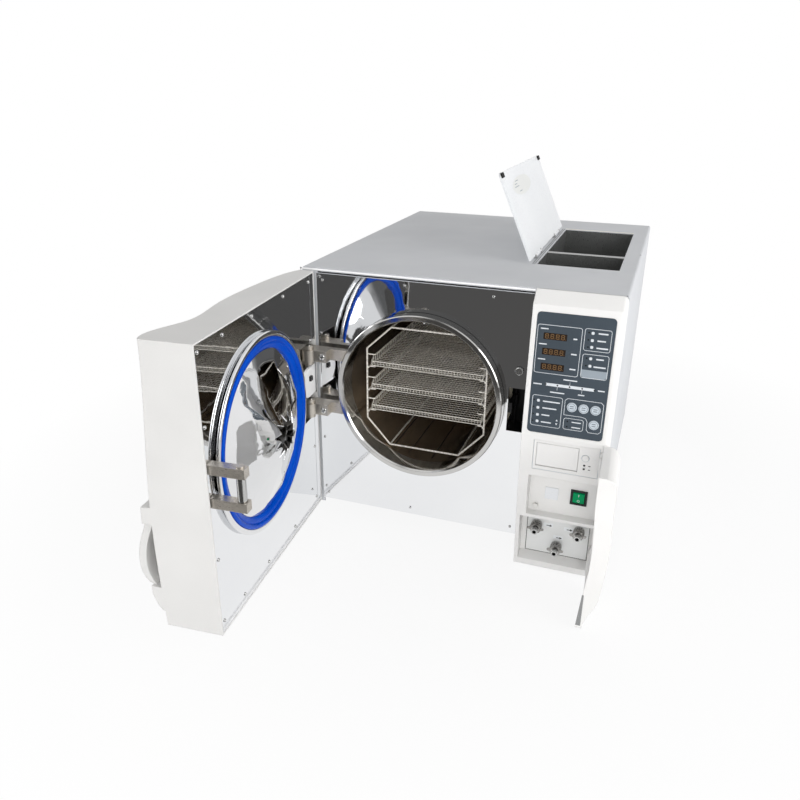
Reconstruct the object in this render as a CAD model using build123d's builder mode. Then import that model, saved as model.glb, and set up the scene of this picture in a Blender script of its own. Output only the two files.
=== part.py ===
import math
import os

from build123d import *

os.makedirs("parts", exist_ok=True)

# Cabinet envelope, in mm
width = 490.0
depth = 580.0
height = 455.0
skin = 1.5
floor_gap = 42.0
left = -width / 2
right = width / 2
front = -depth / 2
back = depth / 2
cover_front = front + 7.0
skin_bend = 4.0
sheet_gap = 0.2

# Front panel, with the control column to its right
col_right = right
col_left = col_right - 126.0
panel_left = left + 27.5
panel_right = col_left - 1.0
panel_bottom = floor_gap + 12.0
panel_top = height - 7.0

# Pressure chamber: as wide as the panel allows, with room for hinge and latch
side_room = 90.5
bore_r = (panel_right - panel_left - side_room) / 2
axis_x = (panel_left + panel_right) / 2 + 3.75
axis_z = (panel_bottom + panel_top) / 2 + 20.0
vessel_wall = 3.0
flange_r = bore_r + 9.5
flange_front = front - 19.8
flange_back = front + 15.0
vessel_end = back - 145.0
dome_rise = 0.27 * bore_r
jacket_r = bore_r + 13.5
slot_left = panel_right - 27.0
slot_low = axis_z - 38.0
slot_high = axis_z + 32.0
plunger_x, plunger_z = panel_right - 13.0, axis_z + 61.0

# Door, drawn closed, then swung open about its hinge axis
hinge_x = panel_left - 4.0
hinge_y = front - 29.6
door_open = 85.66
door_left = left - 1.0
door_w = col_left - 2.0 - door_left
rim_y = front - 26.5
door_low = panel_bottom - 3.0
door_high = height - 3.0
door_wall = 2.5
arm_low = axis_z - 45.0
arm_high = axis_z + 45.0
arm_tall = 18.0
arm_front = front - 34.0
arm_back = front - 8.5
eye_r = 11.0
hinge_pin_r = 4.0
run_gap = 0.06
liner_recess = 3.0
liner_t = 1.2
seal_outer_r = flange_r + 3.6
seal_inner_r = seal_outer_r - 18.2
seal_proud = 1.6
disc_r = seal_outer_r + 5.9
disc_proud = 5.0
disc_rim_t = 7.0
dish_r = seal_inner_r - 9.4
dish_rise = 21.5
petals = 12
fork_along = door_w - 12.0
fork_bar = 13.0
fork_reach = 47.0
fork_low = axis_z - 24.0
fork_high = axis_z + 22.0
roller_off = 39.0
roller_r = 6.0
beam_off = 14.3
beam_t = 6.0

# Control column
hood_left, hood_right = 119.0, 245.0
col_back = cover_front - 0.3
face_top = (front - 13.0, height - 17.0)
face_bottom = (front - 25.0, 244.0)
cheek_mid = (front - 20.0, 146.0)
cheek_low = (front - 3.0, 4.0)
col_wall = 2.5
mem_left, mem_right = hood_left + 7.0, hood_right - 11.0
mem_low, mem_high = 249.0, height - 27.0
mem_t = 0.8
key_r = 7.0
key_spots = ((186.8, 294.6), (203.3, 294.6), (219.8, 294.6), (219.8, 272.5))
bay_left, bay_right = 131.0, 237.0
switch_back = front
valve_back = front + 14.0
nozzle_spots = ((149.0, 73.0), (215.0, 74.0), (182.5, 40.0))
flap_x = 236.5
flap_y = front - 27.5
flap_open = 92.0
flap_len = 103.0
flap_top = 247.0
flap_low = 4.0

# Water tank and its lid
tank_left, tank_right = right - 153.0, right - 26.0
tank_front, tank_back = -135.0, 188.0
tank_floor = height - 152.0
lid_x = tank_left - 9.5
lid_z = height + 3.5
lid_open = 114.0
lid_reach = 144.0
lid_t = 3.0

# Wire rack
wire_r = 1.5
rack_front = front + 22.0
rack_back = vessel_end - 40.0
rack_z = axis_z - 2.5
rack_scale = bore_r / 122.5
rack_upright = 98.0 * rack_scale
tray_w = 2 * (rack_upright - 5.0)
tray_levels = tuple(axis_z + rise * rack_scale for rise in (-49.0, -12.0, 27.0))
tray_lip = 9.0
tray_gap = 0.12


def block(x0, x1, y0, y1, z0, z1, mode=Mode.ADD):
    with Locations(((x0 + x1) / 2, (y0 + y1) / 2, (z0 + z1) / 2)):
        Box(x1 - x0, y1 - y0, z1 - z0, mode=mode)


def rod(start, end, radius, mode=Mode.ADD):
    a, b = Vector(*start), Vector(*end)
    with Locations(Plane(origin=a, z_dir=b - a)):
        Cylinder(radius, (b - a).length, align=(Align.CENTER, Align.CENTER, Align.MIN), mode=mode)


def save(shape, label):
    shape.label = label
    export_step(shape, f"parts/{label}.step")


door_axis = Axis((hinge_x, hinge_y, 0), (0, 0, 1))
flap_axis = Axis((flap_x, flap_y, 0), (0, 0, 1))
lid_axis = Axis((lid_x, 0, lid_z), (0, 1, 0))


def save_in_column(shape, label):
    save(shape.moved(Location((col_right - hood_right, 0, 0))), label)


def save_on_door(shape, label):
    save(shape.rotate(door_axis, -door_open), label)


# Wrap-round cover: one bent sheet with the tank opening
with BuildPart() as cabinet_cover:
    block(left, right, cover_front, back, floor_gap, height)
    fillet(cabinet_cover.edges().filter_by(Axis.Y).group_by(Axis.Z)[-1], skin_bend)
    ends = cabinet_cover.faces().filter_by(Axis.Y)
    under = cabinet_cover.faces().sort_by(Axis.Z)[0]
    offset(amount=-skin, openings=[*ends, under])
    block(left + skin, panel_left - 1.5, cover_front, cover_front + skin, floor_gap, height - skin)
    block(left + skin, col_left, cover_front, cover_front + skin, panel_top + 1, height - skin)
    block(tank_left, tank_right, tank_front, tank_back, height - 10, height + 1, Mode.SUBTRACT)
save(cabinet_cover.part, "cabinet_cover")

# Base pan, set back under the front panel
pan_front = front + 28.0
pan_up = 20.0
foot_side = right - 55.0
with BuildPart() as base_pan:
    side = right - skin - sheet_gap
    block(-side, side, pan_front, back - 4, floor_gap, floor_gap + skin)
    block(-side, skin - side, pan_front, back - 4, floor_gap, floor_gap + pan_up)
    block(side - skin, side, pan_front, back - 4, floor_gap, floor_gap + pan_up)
    for foot_x in (-foot_side, foot_side):
        for foot_y in (front + 150.0, back - 115.0):
            rod((foot_x, foot_y, floor_gap - 1), (foot_x, foot_y, floor_gap + 3), 4.1, Mode.SUBTRACT)
save(base_pan.part, "base_pan")

# Rear panel with louvre slots, fan opening and inlet opening
fan_x, fan_z, fan_r = -10.0, 140.0, 56.0
inlet_x, inlet_z = right - 55.0, 90.0
inlet_w, inlet_h = 27.4, 20.4
with BuildPart() as rear_panel:
    side = right - skin - sheet_gap
    block(-side, side, back - 3.5, back - 2, floor_gap + 2, height - skin - sheet_gap)
    for row in range(9):
        for col in range(4):
            x = left + 55.0 + col * 34.0
            z = height - 155.0 + row * 12.0
            block(x, x + 26, back - 5, back, z, z + 3, Mode.SUBTRACT)
    for ix in range(-3, 4):
        for iz in range(-3, 4):
            if ix * ix + iz * iz < 13:
                x, z = fan_x + ix * 14.0, fan_z + iz * 14.0
                rod((x, back - 5, z), (x, back, z), 5.2, Mode.SUBTRACT)
    block(inlet_x - inlet_w / 2, inlet_x + inlet_w / 2, back - 5, back,
          inlet_z - inlet_h / 2, inlet_z + inlet_h / 2, Mode.SUBTRACT)
    fillet(rear_panel.edges().filter_by(Axis.Y).group_by(Axis.Z)[-1], skin_bend)
save(rear_panel.part, "rear_panel")

# Polished front panel, folded back at its edges
with BuildPart() as front_panel:
    block(panel_left, panel_right, front, front + skin, panel_bottom, panel_top)
    block(panel_left, panel_left + skin, front, front + 14, panel_bottom, panel_top)
    block(panel_left, panel_right, front, front + 6.5, panel_top - skin, panel_top)
    block(panel_left, panel_right, front, pan_front - 0.3, panel_bottom, panel_bottom + skin)
    block(panel_left, panel_left + 2.5, front - 1.5, front, panel_bottom, panel_top)
    block(panel_left, panel_right, front - 1.5, front, panel_top - 2.5, panel_top)
    rod((axis_x, front - 5, axis_z), (axis_x, front + 5, axis_z), flange_r + 0.4, Mode.SUBTRACT)
    block(slot_left, panel_right + 1, front - 5, front + 5, slot_low, slot_high, Mode.SUBTRACT)
    rod((plunger_x, front - 5, plunger_z), (plunger_x, front + 5, plunger_z), 6.3, Mode.SUBTRACT)
save(front_panel.part, "front_panel")

# Rubber feet
with BuildPart() as feet:
    for foot_x in (-foot_side, foot_side):
        for foot_y in (front + 150.0, back - 115.0):
            with Locations((foot_x, foot_y, 0)):
                Cone(19, 15, floor_gap, align=(Align.CENTER, Align.CENTER, Align.MIN))
            rod((foot_x, foot_y, floor_gap - 1), (foot_x, foot_y, floor_gap + 6), 4.0)
save(feet.part, "feet")

# Chamber vessel: drawn tube with a dished rear end
outer_r = bore_r + vessel_wall


def vessel_profile(radius, start, rise):
    dish_r = (radius ** 2 + rise ** 2) / (2 * rise)
    half = math.asin(radius / dish_r) / 2
    centre = vessel_end + rise - dish_r
    with BuildSketch(Plane.XY) as profile:
        with BuildLine():
            Polyline((0, start), (radius, start), (radius, vessel_end))
            ThreePointArc((radius, vessel_end),
                          (dish_r * math.sin(half), centre + dish_r * math.cos(half)), (0, vessel_end + rise))
            Line((0, vessel_end + rise), (0, start))
        make_face()
    return profile.sketch


with BuildPart() as chamber_vessel:
    revolve(vessel_profile(outer_r, flange_back, dome_rise), axis=Axis.Y)
    revolve(vessel_profile(bore_r, flange_back - 1, dome_rise - vessel_wall), axis=Axis.Y, mode=Mode.SUBTRACT)
chamber_vessel = chamber_vessel.part.moved(Location((axis_x, 0, axis_z)))
save(chamber_vessel, "chamber_vessel")

# Polished flange with a bevelled mouth and a clamping collar behind the panel
with BuildPart() as flange_ring:
    with BuildSketch(Plane.XY):
        with BuildLine():
            Polyline((bore_r, flange_back), (bore_r, flange_front + 3), (bore_r + 2, flange_front),
                     (flange_r - 1.5, flange_front), (flange_r, flange_front + 1.5),
                     (flange_r, front + 2.2), (flange_r + 6, front + 2.2), (flange_r + 6, front + 9),
                     (flange_r, front + 9), (flange_r, flange_back), (bore_r, flange_back))
        make_face()
    revolve(axis=Axis.Y)
flange_ring = flange_ring.part.moved(Location((axis_x, 0, axis_z)))
with BuildPart() as chamber_flange:
    add(flange_ring)
    trim = axis_x + flange_r + 0.2
    block(trim, trim + 14, front, front + 20, axis_z - 60, axis_z + 60, Mode.SUBTRACT)
save(chamber_flange.part, "chamber_flange")

# Insulation jacket round the vessel
valve_y = 70.0
jacket_front, jacket_back = front + 54.0, vessel_end - 7.0
with BuildPart() as insulation_jacket:
    rod((axis_x, jacket_front, axis_z), (axis_x, jacket_back, axis_z), jacket_r)
    rod((axis_x, jacket_front - 1, axis_z), (axis_x, jacket_back + 1, axis_z), outer_r + 2.5, Mode.SUBTRACT)
    block(axis_x - 12, axis_x + 12, jacket_front - 1, jacket_back + 1, axis_z - 150, axis_z, Mode.SUBTRACT)
    rod((axis_x, valve_y, axis_z), (axis_x, valve_y, axis_z + 150), 12, Mode.SUBTRACT)
save(insulation_jacket.part, "insulation_jacket")

# Saddles that carry the vessel on the base pan
with BuildPart() as vessel_saddles:
    for y in (front + 85.0, vessel_end - 50.0):
        block(axis_x - 95, axis_x + 95, y, y + 3, floor_gap + skin, axis_z - 70)
        block(axis_x - 95, axis_x + 95, y, y + 22, floor_gap + skin, floor_gap + skin + 3)
        rod((axis_x, y - 1, axis_z), (axis_x, y + 23, axis_z), jacket_r + 0.2, Mode.SUBTRACT)
        block(axis_x - 40, axis_x + 40, y - 1, y + 4, floor_gap + 20, floor_gap + 60, Mode.SUBTRACT)
save(vessel_saddles.part, "vessel_saddles")

# Steam inlet fitting under the chamber roof, and the safety valve on top
with BuildPart() as steam_inlet_fitting:
    rod((axis_x, front + 22, axis_z + bore_r - 12.5), (axis_x, front + 22, axis_z + bore_r - 5.5), 7)
    rod((axis_x, front + 22, axis_z + bore_r - 5.5), (axis_x, front + 22, axis_z + bore_r - 0.2), 5)
save(steam_inlet_fitting.part, "steam_inlet_fitting")
with BuildPart() as safety_valve:
    for low, high, radius in ((0.3, 24.5, 7), (24.5, 42.5, 9), (42.5, 49.5, 4)):
        rod((axis_x, valve_y, axis_z + outer_r + low), (axis_x, valve_y, axis_z + outer_r + high), radius)
save(safety_valve.part, "safety_valve")

# Hinge arms, welded to the flange
with BuildPart() as hinge_arms:
    for z in (arm_low, arm_high):
        block(hinge_x, axis_x - 0.735 * bore_r, front - 18.5, arm_back, z, z + arm_tall)
        block(hinge_x, hinge_x + 31.5, arm_front, front - 18.5, z, z + arm_tall)
        rod((hinge_x, hinge_y, z), (hinge_x, hinge_y, z + arm_tall), eye_r)
        rod((hinge_x, hinge_y, z - 1), (hinge_x, hinge_y, z + arm_tall + 1), hinge_pin_r, Mode.SUBTRACT)
    rod((axis_x, front - 60, axis_z), (axis_x, front + 5, axis_z), flange_r + 0.1, Mode.SUBTRACT)
save(hinge_arms.part, "hinge_arms")
# Hinge pins, pressed in the arms
lug_t = 6.0
with BuildPart() as hinge_pins:
    for z in (arm_low, arm_high):
        rod((hinge_x, hinge_y, z - lug_t - 1), (hinge_x, hinge_y, z + arm_tall + lug_t + 1), hinge_pin_r)
save(hinge_pins.part, "hinge_pins")

# Door beam: hinge lugs at one end, latch fork at the other
beam_y = rim_y - beam_off
fork_x = door_left + fork_along
with BuildPart() as door_beam:
    block(door_left + 14, fork_x + fork_bar / 2, beam_y - beam_t, beam_y, axis_z - 23, axis_z + 27)
    block(door_left + 14, door_left + 38, beam_y - beam_t, beam_y, arm_low - 9, arm_high + arm_tall + 9)
    block(fork_x - 16, fork_x + fork_bar / 2, beam_y - beam_t, beam_y, fork_low - 9, fork_high + 9)
    for z in (arm_low, arm_high):
        for z0 in (z - lug_t - sheet_gap, z + arm_tall + sheet_gap):
            block(hinge_x - 8, hinge_x + 8, beam_y - 1, hinge_y, z0, z0 + lug_t)
            rod((hinge_x, hinge_y, z0), (hinge_x, hinge_y, z0 + lug_t), 8)
            rod((hinge_x, hinge_y, z0 - 1), (hinge_x, hinge_y, z0 + lug_t + 1),
                hinge_pin_r + run_gap, Mode.SUBTRACT)
    for z in (fork_low, fork_high):
        block(fork_x - fork_bar / 2, fork_x + fork_bar / 2, beam_y - 1, rim_y + fork_reach,
              z - fork_bar / 2, z + fork_bar / 2)
    rod((fork_x, rim_y + roller_off, fork_low - 9), (fork_x, rim_y + roller_off, fork_high + 7), 3.5)
    rod((fork_x, rim_y + roller_off, fork_high + 6.4), (fork_x, rim_y + roller_off, fork_high + 9), 5)
    rod((axis_x, beam_y - beam_t - 1, axis_z), (axis_x, beam_y + 1, axis_z), 6.1, Mode.SUBTRACT)
save_on_door(door_beam.part, "door_beam")

# Latch roller, running on the fork's pin
with BuildPart() as fork_roller:
    rod((fork_x, rim_y + roller_off, fork_low + fork_bar / 2 + 0.5),
        (fork_x, rim_y + roller_off, fork_high - fork_bar / 2 - 0.5), roller_r)
    rod((fork_x, rim_y + roller_off, fork_low - 9), (fork_x, rim_y + roller_off, fork_high + 9), 3.5 + run_gap, Mode.SUBTRACT)
save_on_door(fork_roller.part, "fork_roller")
# Pressure disc: turned rim with a seal groove, dome pressed into petals
disc_y = rim_y + disc_proud
hub_r = 22.0
dish_steps = ((dish_r, -3.6), (0.8 * dish_r, 4.4), (0.56 * dish_r, 11.0), (0.33 * dish_r, dish_rise - 5.5),
              (0.17 * dish_r, dish_rise - 3.6))


def petal_star(radius, level):
    with BuildSketch(Plane.XZ.offset(-level)) as star:
        with BuildLine():
            Polyline(*[((radius if i % 2 else 0.95 * radius) * math.cos(math.pi * i / petals),
                        (radius if i % 2 else 0.95 * radius) * math.sin(math.pi * i / petals))
                       for i in range(2 * petals)], close=True)
        make_face()
    return star.sketch


with BuildPart() as disc_blank:
    with BuildSketch(Plane.XY):
        with BuildLine():
            Polyline((0, -disc_rim_t), (disc_r - 1, -disc_rim_t), (disc_r, -disc_rim_t + 1),
                     (disc_r, -3), (disc_r - 0.9, -0.9), (disc_r - 3, 0), (seal_outer_r + 0.1, 0),
                     (seal_outer_r + 0.1, -5.5), (seal_inner_r - 0.1, -5.5), (seal_inner_r - 0.1, -3.4),
                     (seal_inner_r - 4, -2.6), (dish_r + 1, -3.5), (0, -3.5), (0, -disc_rim_t))
        make_face()
    revolve(axis=Axis.Y)
    for low, high in zip(dish_steps, dish_steps[1:]):
        loft(sections=[petal_star(*low), petal_star(*high)], ruled=True)
    with BuildSketch(Plane.XY):
        with BuildLine():
            Polyline((hub_r, -8), (dish_r - 8, -8), (dish_r - 10, -4.5), (0.76 * dish_r, 0), (0.54 * dish_r, 6.6),
                     (0.31 * dish_r, 11.6), (hub_r, 13), (hub_r, -8))
        make_face()
    revolve(axis=Axis.Y, mode=Mode.SUBTRACT)
    rod((0, dish_rise - 6, 0), (0, dish_rise - 3, 0), 14)
    rod((0, -disc_rim_t - 1, 0), (0, 2, 0), 6.0, Mode.SUBTRACT)
pressure_disc = disc_blank.part.moved(Location((axis_x, disc_y, axis_z)))
save_on_door(pressure_disc, "pressure_disc")

# Blue door seal with an inner lip
with BuildPart() as seal_ring:
    with BuildSketch(Plane.XY):
        with BuildLine():
            Polyline((seal_inner_r, -5.4), (seal_outer_r, -5.4), (seal_outer_r, 0.3),
                     (seal_outer_r - 2.2, seal_proud), (seal_outer_r - 8, seal_proud - 0.3),
                     (seal_inner_r + 5, -1.2), (seal_inner_r, -3.0), (seal_inner_r, -5.4))
        make_face()
    revolve(axis=Axis.Y)
door_seal = seal_ring.part.moved(Location((axis_x, disc_y, axis_z)))
save_on_door(door_seal, "door_seal")

# Stud that carries the disc on the beam
with BuildPart() as disc_stud:
    rod((axis_x, beam_y + 0.05, axis_z), (axis_x, disc_y - disc_rim_t - 0.05, axis_z), 11)
    rod((axis_x, beam_y - beam_t - 8, axis_z), (axis_x, disc_y + 1, axis_z), 5.95)
    rod((axis_x, beam_y - beam_t - 7, axis_z), (axis_x, beam_y - beam_t - 0.05, axis_z), 10)
save_on_door(disc_stud.part, "disc_stud")


# Door casing: lofted wavy front, thin at the hinge, deep at the free side, with a raised grip band
def casing_section(z, deep, inset):
    edge = door_w - inset
    wide = door_w / 363.0
    mid = 1.0 + (deep - 69.0) / 180.0
    pts = [(edge, deep - 1.5 - inset), (edge - 3, deep - inset), (334 * wide, deep - inset),
           (285 * wide, 50.5 * mid - inset), (215 * wide, 52 * mid - inset), (143 * wide, 51 * mid - inset),
           (64 * wide, 42 - inset), (14 * wide, 29 - inset), (inset, 22)]
    lip = -1.0 if inset else 0.0
    with BuildSketch(Plane.XY.offset(z)) as section:
        with BuildLine():
            Line((door_left + inset, rim_y - lip), (door_left + edge, rim_y - lip))
            Line((door_left + edge, rim_y - lip), (door_left + pts[0][0], rim_y - pts[0][1]))
            Spline(*[(door_left + a, rim_y - d) for a, d in pts])
            Line((door_left + pts[-1][0], rim_y - pts[-1][1]), (door_left + inset, rim_y - lip))
        make_face()
    return section.sketch


deeps = ((door_low, 82.0), (110.0, 84.5), (215.0, 85.5), (axis_z + 59, 78.0), (door_high, 70.8))
inner_z = (door_low + door_wall, 110.0, 215.0, axis_z + 59, door_high - door_wall)
band_left = door_left + door_w - 34.0
band_pts = ((60, 232.5), (97, 229), (98, 205), (83, 205), (83, 110), (97.2, 110), (97.2, 98), (91, 82),
            (85, 74), (60, 66))
with BuildPart() as casing_outer:
    loft(sections=[casing_section(z, deep, 0.0) for z, deep in deeps])
with BuildPart() as casing_inner:
    loft(sections=[casing_section(z, deep, door_wall) for z, (level, deep) in zip(inner_z, deeps)])
with BuildPart() as grip_band:
    with BuildSketch(Plane.YZ.offset(band_left)):
        with BuildLine():
            Polyline(*[(rim_y - d, z) for d, z in band_pts], close=True)
        make_face()
    extrude(amount=door_left + door_w - band_left)
    add(casing_inner.part, mode=Mode.SUBTRACT)
with BuildPart() as door_casing:
    add(casing_outer.part)
    add(casing_inner.part, mode=Mode.SUBTRACT)
    add(grip_band.part)
save_on_door(door_casing.part, "door_casing")

# Polished door liner with windows for the arms and the fork
liner_y = rim_y - liner_recess
liner_edge = door_wall + sheet_gap
with BuildPart() as door_liner:
    x0, x1 = door_left + liner_edge, door_left + door_w - liner_edge
    z0, z1 = door_low + liner_edge, door_high - liner_edge
    block(x0, x1, liner_y - liner_t, rim_y - 0.3, z0, z1)
    block(x0 + liner_t, x1 - liner_t, liner_y, rim_y, z0 + liner_t, z1 - liner_t, Mode.SUBTRACT)
    for z in (arm_low, arm_high):
        block(x0 - 1, door_left + 60, liner_y - 5, rim_y + 1, z - 10, z + arm_tall + 10, Mode.SUBTRACT)
    for z in (fork_low, fork_high):
        block(fork_x - fork_bar / 2 - 1, fork_x + fork_bar / 2 + 1, liner_y - 5, rim_y + 1,
              z - fork_bar / 2 - 1, z + fork_bar / 2 + 1, Mode.SUBTRACT)
    rod((axis_x, liner_y - 5, axis_z), (axis_x, rim_y, axis_z), 12, Mode.SUBTRACT)
save_on_door(door_liner.part, "door_liner")

# Light plate between the arm windows, with its square-headed bolt
with BuildPart() as hinge_cover_plate:
    block(door_left + 6, door_left + 31, liner_y + 0.05, liner_y + 1.8, axis_z - 15, axis_z + 33)
    rod((door_left + 31, liner_y + 0.05, axis_z + 9), (door_left + 31, liner_y + 1.8, axis_z + 9), 24)
    block(door_left + 24.5, door_left + 31.5, liner_y + 1.7, liner_y + 5.5, axis_z + 12, axis_z + 19)
save_on_door(hinge_cover_plate.part, "hinge_cover_plate")

# Bow handle that springs out of the gap in the grip band
bow_out = ((97.5, 204.8), (101, 193), (105, 183), (110.5, 165), (113, 148), (113, 136), (110, 123), (103, 113),
           (97, 110.1))
bow_in = ((92, 110.1), (97.5, 118), (101.5, 128), (103, 142), (101, 160), (96.5, 178), (90.5, 193), (87, 204.8))
handle_w = 22.0
with BuildPart() as door_handle:
    with BuildSketch(Plane.YZ.offset(door_left + door_w - 5 - handle_w)):
        with BuildLine():
            Spline(*[(rim_y - d, z) for d, z in bow_out])
            Line((rim_y - bow_out[-1][0], bow_out[-1][1]), (rim_y - bow_in[0][0], bow_in[0][1]))
            Spline(*[(rim_y - d, z) for d, z in bow_in])
            Line((rim_y - bow_in[-1][0], bow_in[-1][1]), (rim_y - bow_out[0][0], bow_out[0][1]))
        make_face()
    extrude(amount=handle_w)
    add(grip_band.part, mode=Mode.SUBTRACT)
    add(casing_outer.part, mode=Mode.SUBTRACT)
save_on_door(door_handle.part.solids().sort_by(SortBy.VOLUME)[-1], "door_handle")

# Door lock behind the slot: open bracket with a riveted pin, and the swinging hook
hook_x, hook_y = slot_left + 4.0, front + 40.0
hook_low, hook_high = axis_z - 9.0, axis_z + 7.0
with BuildPart() as lock_housing:
    for z in (slot_low - 5, slot_high + 1.5):
        block(slot_left - 3, slot_left + 27.5, front + 1.8, front + 50, z, z + 1.5)
    block(slot_left + 25.8, slot_left + 27.5, front + 1.8, front + 50, slot_low - 5, slot_high + 3)
    block(slot_left - 3, slot_left + 27.5, front + 48.5, front + 50, slot_low - 5, slot_high + 3)
    rod((hook_x, hook_y, slot_low - 6.5), (hook_x, hook_y, slot_high + 4.5), 2.0)
save(lock_housing.part, "lock_housing")
with BuildPart() as lock_hook:
    block(hook_x - 0.5, hook_x + 2.2, front + 1.9, hook_y, hook_low, hook_high)
    block(hook_x - 0.5, hook_x + 9.5, front + 1.9, front + 5.8, hook_low, hook_high)
    rod((hook_x, hook_y, hook_low), (hook_x, hook_y, hook_high), 5)
    rod((hook_x, hook_y, 261), (hook_x, hook_y, 279), 2.0 + run_gap, Mode.SUBTRACT)
save(lock_hook.part.rotate(Axis((hook_x, hook_y, 0), (0, 0, 1)), -11), "lock_hook")

# Door-closed plunger
with BuildPart() as door_plunger:
    rod((plunger_x, front - 6, plunger_z), (plunger_x, front + 20, plunger_z), 6.0)
    chamfer(door_plunger.edges().sort_by(Axis.Y)[0], 1.2)
    rod((plunger_x, front + 3, plunger_z), (plunger_x, front + 5, plunger_z), 9.0)
save(door_plunger.part, "door_plunger")

# Column fascia: hollow hood with tilted face and an open service bay
lean = math.atan2(face_top[0] - face_bottom[0], face_top[1] - face_bottom[1])
face_dir = Vector(0, -math.cos(lean), math.sin(lean))


def on_face(x, z, proud=0.0):
    t = (z - face_bottom[1]) / (face_top[1] - face_bottom[1])
    y = face_bottom[0] + t * (face_top[0] - face_bottom[0])
    return Vector(x, y, z) + face_dir * proud


def face_plane(x, z, proud=0.0):
    return Plane(origin=on_face(x, z, proud), x_dir=(1, 0, 0), z_dir=face_dir)


with BuildPart() as column_fascia:
    with BuildSketch(Plane.YZ.offset(hood_left)):
        with BuildLine():
            Polyline((col_back, height), face_top, face_bottom, cheek_mid, cheek_low,
                     (col_back, cheek_low[1]), (col_back, height))
        make_face()
    extrude(amount=hood_right - hood_left)
    long_edges = column_fascia.edges().filter_by(lambda e: e.center().X > hood_right - 0.1
                                                 and e.center().Y < col_back - 0.5
                                                 and abs(e.tangent_at(0.5).Z) > 0.5)
    fillet(long_edges, 7)
    with BuildSketch(Plane.YZ.offset(hood_left + col_wall)):
        with BuildLine():
            w = col_wall
            Polyline((col_back + 5, height - 5), (col_back - 6, height - 8.5), (face_top[0] + w, face_top[1] - 1),
                     (face_bottom[0] + w, face_bottom[1] - 4), (face_bottom[0] + w, 239.5),
                     (col_back + 5, 239.5), (col_back + 5, height - 5))
        make_face()
    extrude(amount=hood_right - hood_left - 2 * col_wall - 2, mode=Mode.SUBTRACT)
    block(bay_left - 8, bay_right + 1.5, col_back - 1, valve_back + 2.5, cheek_low[1], 102)
    block(138, 234, front - 40, col_back + 5, 188, 237, Mode.SUBTRACT)
    block(bay_left + 3, bay_right, front - 40, switch_back, 105, 176, Mode.SUBTRACT)
    with BuildSketch(Plane.YZ.offset(bay_left - 6)):
        with BuildLine():
            Polyline((front - 40, 14), (front - 5, 15), (valve_back, 21), (valve_back, 99),
                     (front - 40, 99), (front - 40, 14))
        make_face()
    extrude(amount=bay_right - bay_left + 6, mode=Mode.SUBTRACT)
    for x0, x1, z0, z1 in ((198.3, 220.7, 128.3, 150.7), (143.7, 148.3, 112.7, 117.3)):
        block(x0, x1, front - 2, col_back + 1, z0, z1, Mode.SUBTRACT)
    with BuildSketch(face_plane((mem_left + mem_right) / 2, (mem_low + mem_high) / 2, -mem_t - 0.1)):
        RectangleRounded(mem_right - mem_left, (mem_high - mem_low) / math.cos(lean), 6)
    extrude(amount=5, mode=Mode.SUBTRACT)
    for x, z in key_spots:
        with BuildSketch(face_plane(x, z, -12)):
            Circle(key_r + 0.3)
        extrude(amount=20, mode=Mode.SUBTRACT)
    for z in (199.0, 226.3, 23.0, 50.3):
        block(flap_x - 2.4, flap_x + 3.2, flap_y, face_bottom[0] + 9 + (20 if z < 100 else 0), z, z + 6.7)
        rod((flap_x, flap_y, z), (flap_x, flap_y, z + 6.7), 2.6)
    for z in (199.0, 23.0):
        rod((flap_x, flap_y, z), (flap_x, flap_y, z + 34), 1.6)
save_in_column(column_fascia.part, "column_fascia")

# Control membrane and its four keys
with BuildPart() as control_membrane:
    with BuildSketch(face_plane((mem_left + mem_right) / 2, (mem_low + mem_high) / 2, -mem_t)):
        RectangleRounded(mem_right - mem_left - 0.6, (mem_high - mem_low) / math.cos(lean) - 0.6, 5.7)
    extrude(amount=mem_t)
    for x, z in key_spots:
        with BuildSketch(face_plane(x, z, -12)):
            Circle(key_r + 0.3)
        extrude(amount=20, mode=Mode.SUBTRACT)
save_in_column(control_membrane.part, "control_membrane")
for number, (x, z) in enumerate(key_spots, start=1):
    with BuildPart() as key:
        with BuildSketch(face_plane(x, z, -9)):
            Circle(key_r)
        extrude(amount=10)
        chamfer(key.edges().sort_by(Axis.Y)[0], 0.5)
        with BuildSketch(face_plane(x, z, -11)):
            Circle(key_r + 1.0)
        extrude(amount=2)
    save_in_column(key.part, f"key_{number}")

# Control board behind the membrane
board_y = front + 24.0
with BuildPart() as control_board:
    block(134, 232, board_y, board_y + 1.6, 252, 428)
    for x0, z0, w0, h0, t0 in ((140, 380, 40, 12, 6), (140, 355, 40, 12, 6), (140, 330, 40, 12, 6),
                               (195, 340, 22, 22, 3), (190, 385, 30, 18, 8), (150, 262, 26, 14, 5)):
        block(x0, x0 + w0, board_y + 1.5, board_y + 1.6 + t0, z0, z0 + h0)
    for x, z in ((140.0, 420.0), (226.0, 420.0), (140.0, 300.0), (226.0, 258.0)):
        hood_y = face_bottom[0] + col_wall + (z - 240) / 197 * (face_top[0] - face_bottom[0]) + 0.3
        rod((x, hood_y, z), (x, board_y + 0.1, z), 3)
save_in_column(control_board.part, "control_board")

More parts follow.
